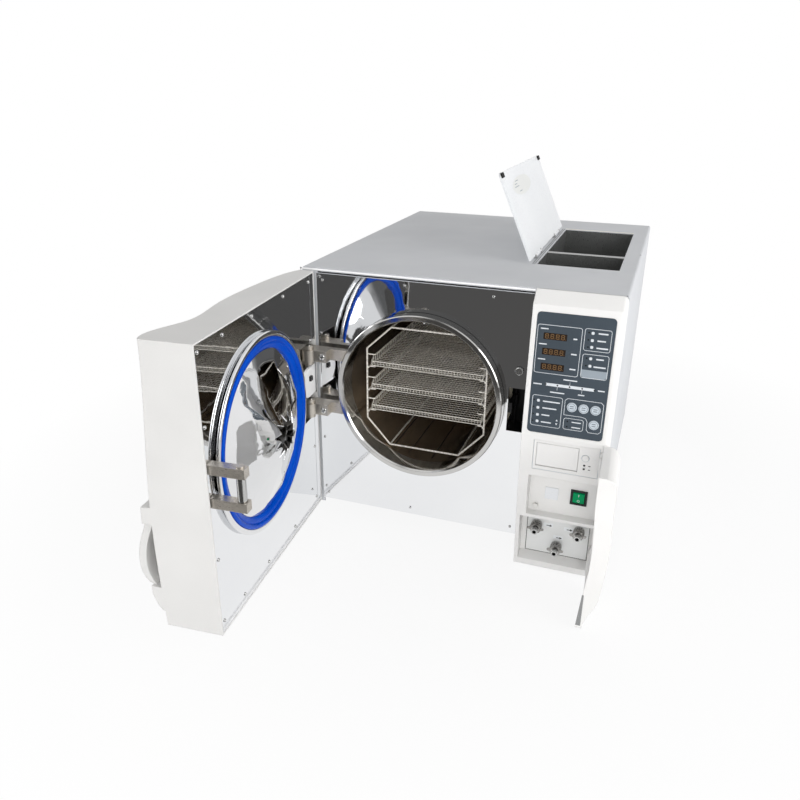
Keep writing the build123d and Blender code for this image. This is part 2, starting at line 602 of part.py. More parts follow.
# Receipt printer: body, hinged door, feed button and paper roll
print_y = front - 22.0
with BuildPart() as printer_body:
    block(138.4, 233.5, print_y, print_y + 3, 188.4, 236.6)
    block(140, 233, print_y + 2, front + 62, 190, 235)
    block(142.5, 204, print_y - 1, front + 60, 194, 232, Mode.SUBTRACT)
    block(207, 231, print_y + 2.5, front + 60, 193, 232, Mode.SUBTRACT)
    rod((214, print_y - 1, 218), (214, print_y + 5, 218), 5.3, Mode.SUBTRACT)
    for z in (206.5, 201.5):
        rod((214, print_y - 1, z), (214, print_y + 1, z), 1.2, Mode.SUBTRACT)
    rod((141, front + 8, 214), (206, front + 8, 214), 4.9)
save_in_column(printer_body.part, "printer_body")
with BuildPart() as printer_door:
    block(142.9, 203.6, print_y, print_y + 2, 196.5, 231.6)
    rod((142.9, print_y + 2.2, 196.6), (203.6, print_y + 2.2, 196.6), 2.1)
save_in_column(printer_door.part, "printer_door")
with BuildPart() as printer_button:
    rod((214, print_y - 0.8, 218), (214, print_y + 5, 218), 5.0)
    rod((214, print_y + 3.2, 218), (214, print_y + 5.2, 218), 6.5)
save_in_column(printer_button.part, "printer_button")
with BuildPart() as paper_roll:
    rod((147, front + 8, 214), (199, front + 8, 214), 15)
    rod((146, front + 8, 214), (200, front + 8, 214), 5, Mode.SUBTRACT)
save_in_column(paper_roll.part, "paper_roll")
# Mains rocker switch
rock_x, rock_z, rock_y = 209.5, 139.5, front + 1.5
with BuildPart() as switch_bezel:
    block(rock_x - 12.5, rock_x + 12.5, front - 2, front - 0.05, rock_z - 12.5, rock_z + 12.5)
    block(rock_x - 11, rock_x + 11, front - 1, front + 16, rock_z - 11, rock_z + 11)
    block(rock_x - 8.7, rock_x + 8.7, front - 5, front + 13, rock_z - 9.7, rock_z + 9.7, Mode.SUBTRACT)
save_in_column(switch_bezel.part, "switch_bezel")
with BuildPart() as power_rocker:
    rod((rock_x - 8.4, rock_y, rock_z), (rock_x + 8.4, rock_y, rock_z), 9.3)
    block(rock_x - 10, rock_x + 10, rock_y - 12, rock_y - 6, rock_z - 12, rock_z + 12, Mode.SUBTRACT)
    block(rock_x - 10, rock_x + 10, rock_y + 4, rock_y + 12, rock_z - 12, rock_z + 12, Mode.SUBTRACT)
save_in_column(power_rocker.part.rotate(Axis((rock_x, rock_y, rock_z), (1, 0, 0)), -8), "power_rocker")
with BuildPart() as blanking_plate:
    block(158.5, 178.5, front - 1.2, front - 0.05, 129, 149)
save_in_column(blanking_plate.part, "blanking_plate")
with BuildPart() as flap_catch:
    rod((146, front - 5, 115), (146, front + 5, 115), 2.1)
    rod((146, front - 6, 115), (146, front - 2.5, 115), 4.0)
save_in_column(flap_catch.part, "flap_catch")

# Valve plate with three hose couplings
with BuildPart() as valve_plate:
    block(133.5, 231, valve_back - 1.6, valve_back - 0.05, 22.5, 88)
    for x, z in nozzle_spots:
        rod((x, valve_back - 3, z), (x, valve_back + 1, z), 5.0, Mode.SUBTRACT)
save_in_column(valve_plate.part, "valve_plate")
with BuildPart() as hose_nozzles:
    for x, z in nozzle_spots:
        rod((x, valve_back - 28, z), (x, valve_back - 0.1, z), 4.8)
        rod((x, valve_back - 5, z), (x, valve_back - 1.7, z), 8.6)
        rod((x, valve_back - 22, z), (x, valve_back - 19.5, z), 5.6)
        rod((x, valve_back - 29, z), (x, valve_back - 10, z), 3.0, Mode.SUBTRACT)
save_in_column(hose_nozzles.part, "hose_nozzles")
for number, (x, z) in enumerate(nozzle_spots, start=1):
    with BuildPart() as collar:
        rod((x, valve_back - 18.5, z), (x, valve_back - 5.3, z), 8.2)
        rod((x, valve_back - 19.2, z), (x, valve_back - 17, z), 6.6)
        block(x - 13, x + 13, valve_back - 18, valve_back - 15.5, z - 2.2, z + 2.2)
        rod((x, valve_back - 20, z), (x, valve_back - 4, z), 4.8 + run_gap, Mode.SUBTRACT)
    save_in_column(collar.part, f"coupling_collar_{number}")


# Service flap: thin shell with a swelling finger grip, drawn closed
def flap_outline(inset):
    swell = [(flap_low, 3), (25, 9), (43, 17.5), (78, 23.5), (110, 26.5), (150, 27.5), (200, 26), (228, 26),
             (241, 22), (flap_top, 12)]
    rims = [(flap_top, -1), (200, -1), (168, -3.2), (128, -4), (103, -3.4), (60, 1), (flap_low, 6)]
    out = [(flap_y - b + inset, z + (inset if i == 0 else -inset if i == len(swell) - 1 else 0))
           for i, (z, b) in enumerate(swell)]
    rim = [(flap_y + r + inset * 2, z - (inset if i == 0 else -inset if i == len(rims) - 1 else 0))
           for i, (z, r) in enumerate(rims)]
    return out, rim


flap_wall = 2.5
with BuildPart() as service_flap:
    for inset, x0, length, mode in (
        (0.0, flap_x - flap_len, flap_len - 6, Mode.ADD),
        (flap_wall, flap_x - flap_len + flap_wall, flap_len - 6 - 2 * flap_wall, Mode.SUBTRACT),
    ):
        out, rim = flap_outline(inset)
        with BuildSketch(Plane.YZ.offset(x0)):
            with BuildLine():
                Spline(*out)
                Line(out[-1], rim[0])
                Polyline(*rim)
                Line(rim[-1], out[0])
            make_face()
        extrude(amount=length, mode=mode)
    block(flap_x - flap_len + flap_wall, flap_x, flap_y + 1.3, flap_y + 30, 0, flap_top + 5, Mode.SUBTRACT)
    for z in (206.0, 30.0):
        block(flap_x - 9, flap_x, flap_y - 3.2, flap_y, z, z + 20)
        rod((flap_x, flap_y, z), (flap_x, flap_y, z + 20), 3.2)
        rod((flap_x, flap_y, z - 1), (flap_x, flap_y, z + 21), 1.6 + run_gap, Mode.SUBTRACT)
save_in_column(service_flap.part.rotate(flap_axis, flap_open), "service_flap")
# Water tank with two wells and a strainer
well_split = (-35.0, -22.0)
tank_wall = 1.2
with BuildPart() as water_tank:
    top = height - skin - 0.15
    block(tank_left - 0.8, tank_right + 0.8, tank_front - 0.8, tank_back + 0.8, tank_floor, top)
    block(tank_left - 6, tank_right + 6, tank_front - 6, tank_back + 6, top - tank_wall, top)
    for y0, y1 in ((tank_front + 0.4, well_split[0]), (well_split[1], tank_back - 0.4)):
        block(tank_left + 0.4, tank_right - 0.4, y0, y1, tank_floor + tank_wall, top + 1, Mode.SUBTRACT)
    block(tank_left + 0.4, tank_right - 0.4, well_split[0] + 1.2, well_split[1] - 1.2,
          tank_floor - 1, top - 3, Mode.SUBTRACT)
    strainer = (tank_left + 28.0, tank_back - 38.0)
    rod((*strainer, tank_floor + tank_wall), (*strainer, tank_floor + 22), 9)
    rod((*strainer, tank_floor + 21), (*strainer, tank_floor + 34), 5)
save(water_tank.part, "water_tank")

# Tank lid, drawn closed, with hinge pin, brackets and pads
lid_y0, lid_y1 = -138.0, 191.0
with BuildPart() as tank_lid:
    block(lid_x + 1, lid_x + lid_reach, lid_y0, lid_y1, lid_z - 1.3, lid_z - 1.3 + lid_t)
    fillet(tank_lid.edges().filter_by(Axis.Z).group_by(Axis.X)[-1], 9)
    for y in (-90.0, 100.0):
        rod((lid_x, y, lid_z), (lid_x, y + 40, lid_z), 2.6)
        rod((lid_x, y - 1, lid_z), (lid_x, y + 41, lid_z), 1.5 + run_gap, Mode.SUBTRACT)
        block(lid_x, lid_x + 4, y - 8, y - 0.001, lid_z - 4, lid_z + 5, Mode.SUBTRACT)
        block(lid_x, lid_x + 4, y + 40.001, y + 48, lid_z - 4, lid_z + 5, Mode.SUBTRACT)
save(tank_lid.part.rotate(lid_axis, -lid_open), "tank_lid")
with BuildPart() as lid_hinge_brackets:
    for y in (-90.0, 100.0):
        for y0 in (y - 7.0, y + 40.3):
            block(lid_x - 2.6, lid_x + 2.6, y0, y0 + 6.7, height + 0.05, lid_z)
            rod((lid_x, y0, lid_z), (lid_x, y0 + 6.7, lid_z), 2.6)
        rod((lid_x, y - 8, lid_z), (lid_x, y + 48, lid_z), 1.5)
save(lid_hinge_brackets.part, "lid_hinge_brackets")
with BuildPart() as lid_pads:
    for y in (lid_y0 + 9, lid_y1 - 9):
        rod((lid_x + 139.5, y, height + 0.4), (lid_x + 139.5, y, lid_z - 1.35), 3.2)
save(lid_pads.part.rotate(lid_axis, -lid_open), "lid_pads")

# Wire rack: two octagonal frames, long wires and tray rails
corners = ((57, 99), (98, 60), (98, -60), (58.5, -103), (-58.5, -103), (-98, -60), (-98, 60), (-57, 99))
frame_pts = tuple((a * rack_scale, b * rack_scale) for a, b in corners)
with BuildPart() as rack_frame:
    for y in (rack_front, rack_back):
        loop = [(axis_x + a, y, rack_z + b) for a, b in frame_pts]
        for start, end in zip(loop, loop[1:] + loop[:1]):
            rod(start, end, wire_r)
        with Locations(*loop):
            Sphere(wire_r)
    for a, b in (frame_pts[0], frame_pts[3], frame_pts[4], frame_pts[7]):
        rod((axis_x + a, rack_front, rack_z + b), (axis_x + a, rack_back, rack_z + b), wire_r)
    for level in tray_levels:
        for sx in (-1, 1):
            rail = axis_x + sx * (rack_upright - 2.0)
            rest = level - wire_r - tray_gap
            rod((rail, rack_front, rest), (rail, rack_back, rest), wire_r)
            for y in (rack_front + 6, rack_back - 8):
                rod((rail, y, rest), (rail - sx * 10, y, rest), wire_r - 0.15)
save(rack_frame.part, "rack_frame")

# Three perforated trays with turned-up edges
for name, level in zip(("tray_lower", "tray_middle", "tray_upper"), tray_levels):
    with BuildPart() as tray:
        x0, x1 = axis_x - tray_w / 2, axis_x + tray_w / 2
        y0, y1 = rack_front + 3, rack_back - 4
        block(x0, x1, y0, y1, level, level + tray_lip)
        block(x0 + 1.4, x1 - 1.4, y0 + 1.4, y1 - 1.4, level + 1.4, level + tray_lip + 1, Mode.SUBTRACT)
        hole_step, row_step = (tray_w - 10) / 4, (y1 - y0 - 6) / 10
        for row in range(10):
            for col in range(4):
                sx = x0 + 8 + col * hole_step
                sy = y0 + 8 + row * row_step
                block(sx, sx + hole_step - 6, sy, sy + row_step - 10, level - 1, level + 3, Mode.SUBTRACT)
    save(tray.part, name)

# Steam generator standing beside the chamber
gen_x, gen_y = left + 33.0, 60.0
with BuildPart() as steam_generator:
    rod((gen_x, gen_y, floor_gap + 5), (gen_x, gen_y, 230), 25)
    block(gen_x - 22, gen_x + 22, gen_y - 22, gen_y + 22, floor_gap + skin, floor_gap + 7)
    rod((gen_x, gen_y, 229), (gen_x, gen_y, 244), 9)
    for z in (90.0, 190.0):
        rod((gen_x, gen_y, z), (gen_x, gen_y, z + 6), 27)
save(steam_generator.part, "steam_generator")

# Vacuum pump: motor, head and base
pump_x, pump_y = left + 20.0, back - 50.0
with BuildPart() as vacuum_pump:
    block(pump_x, pump_x + 110, pump_y - 35, pump_y + 35, floor_gap + skin, floor_gap + 8)
    rod((pump_x + 3, pump_y, 92), (pump_x + 75, pump_y, 92), 30)
    block(pump_x + 75, pump_x + 107, pump_y - 26, pump_y + 26, 60, 126)
    rod((pump_x + 91, pump_y, 126), (pump_x + 91, pump_y, 142), 8)
    block(pump_x + 25, pump_x + 55, pump_y - 15, pump_y + 15, floor_gap + 7, 66)
    for rib in range(6):
        x = pump_x + 9 + rib * 10
        rod((x, pump_y, 92), (x + 3, pump_y, 92), 33)
save(vacuum_pump.part, "vacuum_pump")

# Finned condenser and its cooling fan
fan_y = back - 16.0
with BuildPart() as condenser:
    for i in range(9):
        x = fan_x - 58 + i * 14.5
        fin_end = fan_y - 12.1 if i in (0, 8) else fan_y - 26
        block(x - 0.7, x + 0.7, fan_y - 62, fin_end, fan_z - 56, fan_z + 56)
    for z in (-44, -22, 0, 22, 44):
        rod((fan_x - 64, fan_y - 44, fan_z + z), (fan_x + 64, fan_y - 44, fan_z + z), 4)
save(condenser.part, "condenser")
with BuildPart() as fan_frame:
    block(fan_x - 60, fan_x + 60, fan_y - 12, fan_y + 12.3, fan_z - 60, fan_z + 60)
    rod((fan_x, fan_y - 13, fan_z), (fan_x, fan_y + 13, fan_z), fan_r, Mode.SUBTRACT)
    rod((fan_x, fan_y + 5, fan_z), (fan_x, fan_y + 12, fan_z), 18)
    for turn in (45, 135, 225, 315):
        c, s = math.cos(math.radians(turn)), math.sin(math.radians(turn))
        rod((fan_x + 15 * c, fan_y + 9, fan_z + 15 * s), (fan_x + 62 * c, fan_y + 9, fan_z + 62 * s), 2)
    rod((fan_x, fan_y - 8, fan_z), (fan_x, fan_y + 5.5, fan_z), 2.5)
save(fan_frame.part, "fan_frame")
with BuildPart() as fan_rotor:
    rod((fan_x, fan_y - 10, fan_z), (fan_x, fan_y + 4, fan_z), 18)
    for blade in range(7):
        turn = math.radians(blade * 360 / 7)
        spoke = Vector(math.cos(turn), 0, math.sin(turn))
        mid = Vector(fan_x, fan_y - 3, fan_z) + spoke * 34.5
        skew = Vector(0, 1, 0).rotate(Axis((0, 0, 0), spoke), 50)
        with Locations(Plane(origin=mid, x_dir=spoke, z_dir=skew)):
            Box(35, 15, 1.4)
    rod((fan_x, fan_y - 11, fan_z), (fan_x, fan_y + 5, fan_z), 2.5 + run_gap, Mode.SUBTRACT)
save(fan_rotor.part, "fan_rotor")

# Power inlet in the rear panel
with BuildPart() as power_inlet:
    block(inlet_x - 15.5, inlet_x + 15.5, back - 1.95, back + 0, inlet_z - 12, inlet_z + 12)
    block(inlet_x - 13.5, inlet_x + 13.5, back - 26, back - 1, inlet_z - 10, inlet_z + 10)
    block(inlet_x - 10.5, inlet_x + 10.5, back - 18, back + 1, inlet_z - 7, inlet_z + 7, Mode.SUBTRACT)
    for dx, dz in ((-6, -2), (0, 2), (6, -2)):
        block(inlet_x + dx - 1, inlet_x + dx + 1, back - 20, back - 5, inlet_z + dz - 2.5, inlet_z + dz + 2.5)
save(power_inlet.part, "power_inlet")
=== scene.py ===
import math

import bmesh
import bpy
from mathutils import Matrix, Vector


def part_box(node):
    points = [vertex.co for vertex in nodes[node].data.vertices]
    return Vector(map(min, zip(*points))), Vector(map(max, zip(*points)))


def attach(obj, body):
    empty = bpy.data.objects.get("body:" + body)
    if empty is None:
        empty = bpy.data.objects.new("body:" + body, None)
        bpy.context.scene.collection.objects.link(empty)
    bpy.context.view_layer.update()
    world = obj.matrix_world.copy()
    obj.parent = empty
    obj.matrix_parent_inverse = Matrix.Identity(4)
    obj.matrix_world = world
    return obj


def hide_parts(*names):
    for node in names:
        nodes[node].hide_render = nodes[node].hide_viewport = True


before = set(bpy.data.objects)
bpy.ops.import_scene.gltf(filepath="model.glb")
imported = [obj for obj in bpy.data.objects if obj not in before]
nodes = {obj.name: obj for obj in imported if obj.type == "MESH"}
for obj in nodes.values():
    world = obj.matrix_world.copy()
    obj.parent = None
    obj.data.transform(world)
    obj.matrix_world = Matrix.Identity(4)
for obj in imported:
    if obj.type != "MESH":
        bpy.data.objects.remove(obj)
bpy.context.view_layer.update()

MM = 0.001

# Sizes taken over from the solids, in mm
axis_x, axis_z = -46.0, 271.0
front, back_sheet = -290.0, 288.0
side_x, cover_top, cover_low = 245.0, 455.0, 42.0
hinge_x, hinge_y, door_open = -221.5, -319.6, 85.66
door_left, door_w, rim_y = -246.0, 363.0, -316.5
door_low, door_high = 51.0, 452.0
liner_y = rim_y - 3.0
liner_edge = 2.7
disc_y = rim_y + 5.0
rack_front, rack_back = -268.0, 105.0
tray_half, rack_upright = 93.0, 98.0
tray_levels = {"tray_lower": 222.0, "tray_middle": 259.0, "tray_upper": 298.0}
face_top, face_bottom = (-303.0, 438.0), (-315.0, 244.0)
valve_back = -276.0
printer_front = -312.0
rocker_y, rocker_z, rocker_tilt = -288.5, 139.5, -8.0
key_spots = ((186.8, 294.6), (203.3, 294.6), (219.8, 294.6), (219.8, 272.5))
nozzle_spots = ((149.0, 73.0), (215.0, 74.0), (182.5, 40.0))
lid_x, lid_z, lid_open = 82.5, 458.5, 114.0


def linear(code):
    values = [int(code[i:i + 2], 16) / 255 for i in (1, 3, 5)]
    return [v / 12.92 if v <= 0.04045 else ((v + 0.055) / 1.055) ** 2.4 for v in values] + [1.0]


def put(tree, kind, sets=None, ins=None):
    """Adds one shader node, with its settings and its inputs; an input may be another node's output."""
    node = tree.nodes.new(kind)
    for name, value in (sets or {}).items():
        setattr(node, name, value)
    for name, value in (ins or {}).items():
        if isinstance(value, bpy.types.NodeSocket):
            tree.links.new(value, node.inputs[name])
        else:
            node.inputs[name].default_value = value
    return node


# Spans of the noise values, which the colours and the roughness are spread over
tone_span, grain_span = (0.45, 1.05), (0.3, 0.7)


def surface(name, deep, pale, grain, rough, metal=0.0, ior=1.5, relief=0.02, stretch=(1, 1, 1),
            edge=0.0, mottle=90.0, **extra):
    """A finish from its two colours, its grain in mm, its roughness range and its relief in mm."""
    material = bpy.data.materials.new(name)
    material.use_nodes = True
    tree = material.node_tree
    shader = tree.nodes["Principled BSDF"]
    place = put(tree, "ShaderNodeTexCoord")
    spread = put(tree, "ShaderNodeMapping", ins={"Vector": place.outputs["Object"], "Scale": stretch})
    fine = put(tree, "ShaderNodeTexNoise", ins={"Vector": spread.outputs[0], "Scale": 1000 / grain,
                                                "Detail": 4.0, "Roughness": 0.6})
    broad = put(tree, "ShaderNodeTexNoise", ins={"Vector": place.outputs["Object"], "Scale": 1000 / mottle,
                                                 "Detail": 2.0})
    blend = put(tree, "ShaderNodeMath", {"operation": "MULTIPLY_ADD"},
                {0: fine.outputs["Fac"], 1: 0.5, 2: broad.outputs["Fac"]})
    share = put(tree, "ShaderNodeMapRange", ins={"Value": blend.outputs[0], "From Min": tone_span[0],
                                                 "From Max": tone_span[1]})
    tone = put(tree, "ShaderNodeMix", {"data_type": "RGBA"},
               {"Factor": share.outputs[0], 6: linear(deep), 7: linear(pale)})
    tree.links.new(tone.outputs[2], shader.inputs["Base Color"])
    gloss = put(tree, "ShaderNodeMapRange", ins={"Value": fine.outputs["Fac"], "From Min": grain_span[0],
                                                 "From Max": grain_span[1], "To Min": rough[0],
                                                 "To Max": rough[1]})
    tree.links.new(gloss.outputs[0], shader.inputs["Roughness"])
    bump = put(tree, "ShaderNodeBump", ins={"Height": fine.outputs["Fac"], "Distance": relief * MM,
                                            "Strength": 1.0})
    if edge:
        rounded = put(tree, "ShaderNodeBevel", {"samples": 4}, {"Radius": edge * MM})
        tree.links.new(rounded.outputs[0], bump.inputs["Normal"])
    tree.links.new(bump.outputs[0], shader.inputs["Normal"])
    shader.inputs["Metallic"].default_value = metal
    if not metal:
        shader.inputs["IOR"].default_value = ior
    for socket, value in extra.items():
        shader.inputs[socket.replace("_", " ")].default_value = value
    return material


# Powder-coated sheet steel: fine orange peel that breaks up its soft sheen
powder_coat = surface("powder_coated_steel", "#CCCED2", "#D5D7DA", 1.6, (0.42, 0.52), relief=0.012, edge=1.2)
# Moulded ABS: nearly white, faint spark texture, a gentle highlight along its edges
moulded_abs = surface("moulded_abs", "#EBEAE8", "#F2F1EF", 0.9, (0.34, 0.44), ior=1.53, relief=0.006, edge=1.6)
# The door's moulding is a shade greyer and warmer than the column's
door_abs = surface("door_moulding_abs", "#DEDDDB", "#E7E6E4", 0.9, (0.36, 0.46), ior=1.53, relief=0.006, edge=1.6)
# Inner moulding of the bay: the same plastic, duller and a little yellowed
bay_abs = surface("service_bay_abs", "#E1E0DC", "#E8E7E3", 0.9, (0.40, 0.50), ior=1.53, relief=0.006, edge=0.8)
# Thermoformed lid sheet: cool white, smoother than the moulded pieces
lid_acrylic = surface("tank_lid_plastic", "#E9EBEE", "#F0F2F4", 1.2, (0.25, 0.35), relief=0.004, edge=0.8)
# Mirror-polished stainless sheet: clear reflection, with the slow wave of thin sheet
mirror_sheet = surface("mirror_polished_sheet", "#E9EAEC", "#F1F2F3", 160.0, (0.02, 0.045), metal=1.0,
                       relief=0.35, mottle=400.0)
# Pressed and buffed disc: mirror finish that bends its reflections between the petals
pressed_disc_steel = surface("pressed_disc_steel", "#DBDCDD", "#E7E7E8", 70.0, (0.02, 0.05), metal=1.0,
                             relief=0.25, mottle=200.0)
# Turned and polished flange: a little softer than the sheet
turned_flange_steel = surface("turned_flange_steel", "#BDBCBA", "#CFCECC", 2.5, (0.07, 0.13), metal=1.0,
                              relief=0.004, edge=0.6)
# Ground steel bar: warm grey, with short dull grinding streaks
ground_bar = surface("ground_bar_steel", "#ADA69C", "#D3CDC4", 1.2, (0.24, 0.38), metal=0.8, relief=0.02,
                     stretch=(0.2, 1, 3), edge=0.8)
# Turned pins and screws: bright, with a narrow worn edge
bright_pin = surface("turned_bright_pin", "#B9B9B8", "#D4D4D2", 1.0, (0.12, 0.22), metal=1.0, relief=0.005, edge=0.3)
# Drawn chamber: stainless browned by steam, streaked along its length
chamber_steel = surface("heat_tinted_chamber_steel", "#80705F", "#B2A18C", 3.5, (0.12, 0.24), metal=0.92,
                        relief=0.02, stretch=(1, 0.12, 1), mottle=140.0)
# Brushed tank sheet: grey, with upright brush lines and a film of scale
tank_steel = surface("brushed_tank_steel", "#7E7F7E", "#A3A4A3", 0.7, (0.24, 0.38), metal=0.78, relief=0.01,
                     stretch=(1, 1, 0.1))
# Electropolished wire: pale and slightly milky, so that thin wires stay visible in the dark chamber
rack_wire = surface("electropolished_wire", "#DDD7CB", "#F7F3EA", 3.0, (0.2, 0.34), metal=0.35, relief=0.004)
# Cast silicone rubber: saturated blue with a wet but weak sheen
blue_silicone = surface("blue_silicone_rubber", "#0040AE", "#0150C8", 1.4, (0.2, 0.3), ior=1.41, relief=0.01,
                        mottle=60.0, Specular_IOR_Level=0.12)
# Moulded rubber: nearly black, matt, lightly grained
black_rubber = surface("black_rubber", "#0B0B0B", "#151515", 1.0, (0.6, 0.75), relief=0.03, edge=0.8,
                       Specular_IOR_Level=0.2)
# Moulded nylon: black with a dull shine
black_moulding = surface("black_nylon", "#101011", "#1B1B1C", 0.8, (0.4, 0.55), relief=0.01, edge=0.5)
# Coloured lens of the switch: deep green with a glassy surface
green_lens = surface("green_switch_lens", "#008852", "#00A768", 0.8, (0.18, 0.26), ior=1.49, relief=0.004,
                     edge=0.8, Specular_IOR_Level=0.15)
# Screen-printed polyester film: slate ground with a very fine tooth, and its inks, as matt and paler by steps
membrane_film = surface("slate_membrane_film", "#3C464F", "#434E58", 0.35, (0.42, 0.52), relief=0.01)
# The grey key ink also draws the painted shadow lines round the printer and its button
key_ink_and_shadow = surface("grey_key_film_and_painted_shadow", "#C0C9D1", "#CAD3DB", 0.35, (0.42, 0.52), relief=0.01)
bar_print = surface("grey_bar_film", "#929CA5", "#9CA6AF", 0.35, (0.42, 0.52), relief=0.01)
line_print = surface("pale_line_print", "#D6DBE0", "#E2E6EA", 0.5, (0.45, 0.5), relief=0.002)
lamp_print = surface("white_lamp_dot", "#E9ECEE", "#F4F6F7", 0.5, (0.4, 0.5), relief=0.002)
# Smoked window of the displays: glossy dark brown, and its unlit amber segments
window_tint = surface("smoked_display_window", "#2A211B", "#362B23", 0.5, (0.12, 0.18), ior=1.49, relief=0.002)
segment_glow = surface("amber_segment", "#7A5A34", "#937048", 0.5, (0.4, 0.5), relief=0.002)
# Galvanised sheet: cloudy zinc patches with a cool half-shine
galvanised = surface("galvanised_sheet", "#A6A9AC", "#BDC0C2", 9.0, (0.3, 0.45), metal=0.8, relief=0.01, edge=0.5)
# Satin-brushed valve plate: pale, with brush lines across it
valve_sheet = surface("satin_valve_plate", "#E4E5E4", "#EEEFEE", 0.8, (0.4, 0.5), metal=0.3, relief=0.008,
                      stretch=(0.1, 1, 1), edge=0.4)
# Needled glass-fibre felt: sandy and rough, with a deep nap
glass_felt = surface("glass_fibre_felt", "#A79F8E", "#CBC4B4", 2.5, (0.85, 0.95), relief=0.4)
# Lacquered circuit board: green with a thin gloss
circuit_lacquer = surface("lacquered_board", "#1F5A33", "#2F7243", 1.5, (0.3, 0.4), relief=0.02)
# Machined brass: yellow metal, fine tool marks
cast_brass = surface("machined_brass", "#A17F3F", "#C09C58", 1.2, (0.2, 0.32), metal=1.0, relief=0.01)
# Coated thermal paper: warm white and matt
roll_paper = surface("thermal_paper", "#F1EFE8", "#F8F6F0", 0.6, (0.7, 0.8), relief=0.01)
# Chromed and knurled collar: darker chrome, so that its teeth read
knurled_chrome = surface("knurled_chrome", "#83817E", "#B5B3B0", 1.4, (0.12, 0.24), metal=1.0, relief=0.01)
# White stove paint of the hinge plate, lifted to the brightest white, softly shining, by painted highlight; on the
# cover's hem and the liner's fold it is painted highlight alone
white_paint_and_highlight = surface("white_plate_paint_and_highlight", "#FAFAFA", "#FFFFFF", 1.4, (0.4, 0.5), relief=0.01, edge=0.6)
# Matt vinyl label: a shade darker than the lid that it lies on
label_vinyl = surface("matt_label_vinyl", "#E4E5E3", "#ECEDEB", 0.8, (0.5, 0.6), relief=0.004)
# Smeared silicone sealant: cream and uneven
cream_sealant = surface("cream_silicone_sealant", "#F1EBDC", "#FBF8EF", 3.0, (0.4, 0.55), relief=0.05)
# Moulded lining of the finger gap: dark grey from painted shade, and dull, so that the gap reads as deep
grip_gap_painted_shade = surface("grip_gap_plastic_painted_shade", "#343434", "#404040", 1.2, (0.5, 0.65), relief=0.01)
# Pressed hub steel, near black: painted shade and painted dark reflection in the star-shaped dimple, on a mirror
# finish
hub_painted_shade = surface("hub_steel_painted_shade", "#2B2A29", "#474543", 9.0, (0.12, 0.25), metal=1.0, relief=0.05)
# Plastic, grey and black, dull to carry no highlight: the grey is painted shade in the flap's hollow; the black is
# the colour of dark parts, seams, lamps and print, and painted shade in the valve plate's gap and the coupling bores
fold_shade = surface("shaded_grey_plastic", "#858686", "#969797", 1.0, (0.5, 0.6), relief=0.01)
black_and_painted_shade = surface("black_plastic_and_painted_shade", "#0D0D0E", "#171717", 1.0, (0.5, 0.6), relief=0.01)

finishes = {
    "cabinet_cover": powder_coat, "hinge_cover_plate": white_paint_and_highlight, "rear_panel": galvanised,
    "base_pan": galvanised, "front_panel": mirror_sheet, "door_liner": mirror_sheet, "feet": black_rubber,
    "chamber_vessel": chamber_steel, "chamber_flange": turned_flange_steel, "insulation_jacket": glass_felt,
    "vessel_saddles": galvanised, "steam_inlet_fitting": bright_pin, "safety_valve": cast_brass,
    "hinge_arms": ground_bar, "hinge_pins": bright_pin, "door_beam": ground_bar, "fork_roller": bright_pin,
    "disc_stud": bright_pin, "door_casing": door_abs, "door_handle": door_abs,
    "lock_housing": black_and_painted_shade, "lock_hook": black_moulding, "door_plunger": bright_pin,
    "column_fascia": moulded_abs, "control_membrane": membrane_film, "control_board": circuit_lacquer,
    "printer_body": moulded_abs, "printer_door": moulded_abs, "printer_button": moulded_abs,
    "paper_roll": roll_paper, "switch_bezel": black_moulding, "power_rocker": green_lens,
    "blanking_plate": lid_acrylic, "flap_catch": bay_abs, "valve_plate": valve_sheet,
    "hose_nozzles": bright_pin, "service_flap": moulded_abs, "water_tank": tank_steel,
    "tank_lid": lid_acrylic, "lid_hinge_brackets": bright_pin, "lid_pads": black_rubber,
    "rack_frame": rack_wire, "steam_generator": bright_pin, "vacuum_pump": black_moulding,
    "condenser": galvanised, "fan_frame": black_moulding, "fan_rotor": black_moulding,
    "power_inlet": black_moulding, "key_1": key_ink_and_shadow, "key_2": key_ink_and_shadow, "key_3": key_ink_and_shadow,
    "key_4": key_ink_and_shadow,
}
for node, finish in finishes.items():
    mesh = nodes[node].data
    mesh.materials.clear()
    mesh.materials.append(finish)


def mesh_piece(name, bm, finish, body, smooth=40):
    """Makes a piece of the mesh and lets it ride its body; edges above the angle smooth stay sharp."""
    mesh = bpy.data.meshes.new(name)
    bmesh.ops.recalc_face_normals(bm, faces=bm.faces)
    bm.to_mesh(mesh)
    bm.free()
    piece = bpy.data.objects.new(name, mesh)
    bpy.context.collection.objects.link(piece)
    mesh.materials.append(finish)
    if smooth:
        mesh.shade_smooth()
        mesh.set_sharp_from_angle(angle=math.radians(smooth))
    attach(piece, body)
    return piece


def on_door(point):
    """Carries a point in mm of the closed door to its open place, in metres."""
    turn = Matrix.Rotation(math.radians(-door_open), 3, "Z")
    pivot = Vector((hinge_x, hinge_y, 0))
    return (turn @ (Vector(point) - pivot) + pivot) * MM


def on_lid(point):
    """Carries a point in mm of the lid lying shut to its open place, in metres."""
    turn = Matrix.Rotation(math.radians(-lid_open), 3, "Y")
    pivot = Vector((lid_x, 0, lid_z))
    return (turn @ (Vector(point) - pivot) + pivot) * MM


def in_place(point):
    return Vector(point) * MM


def full_turn(steps):
    return [2 * math.pi * i / steps for i in range(steps)]


def wall(bm, low, high):
    """Closes the space between two rings of corners with a row of quads."""
    for i in range(len(low)):
        j = (i + 1) % len(low)
        bm.faces.new((low[i], low[j], high[j], high[i]))


def patch(bm, points, place):
    """One flat face through the points."""
    return bm.faces.new([bm.verts.new(place(point)) for point in points])


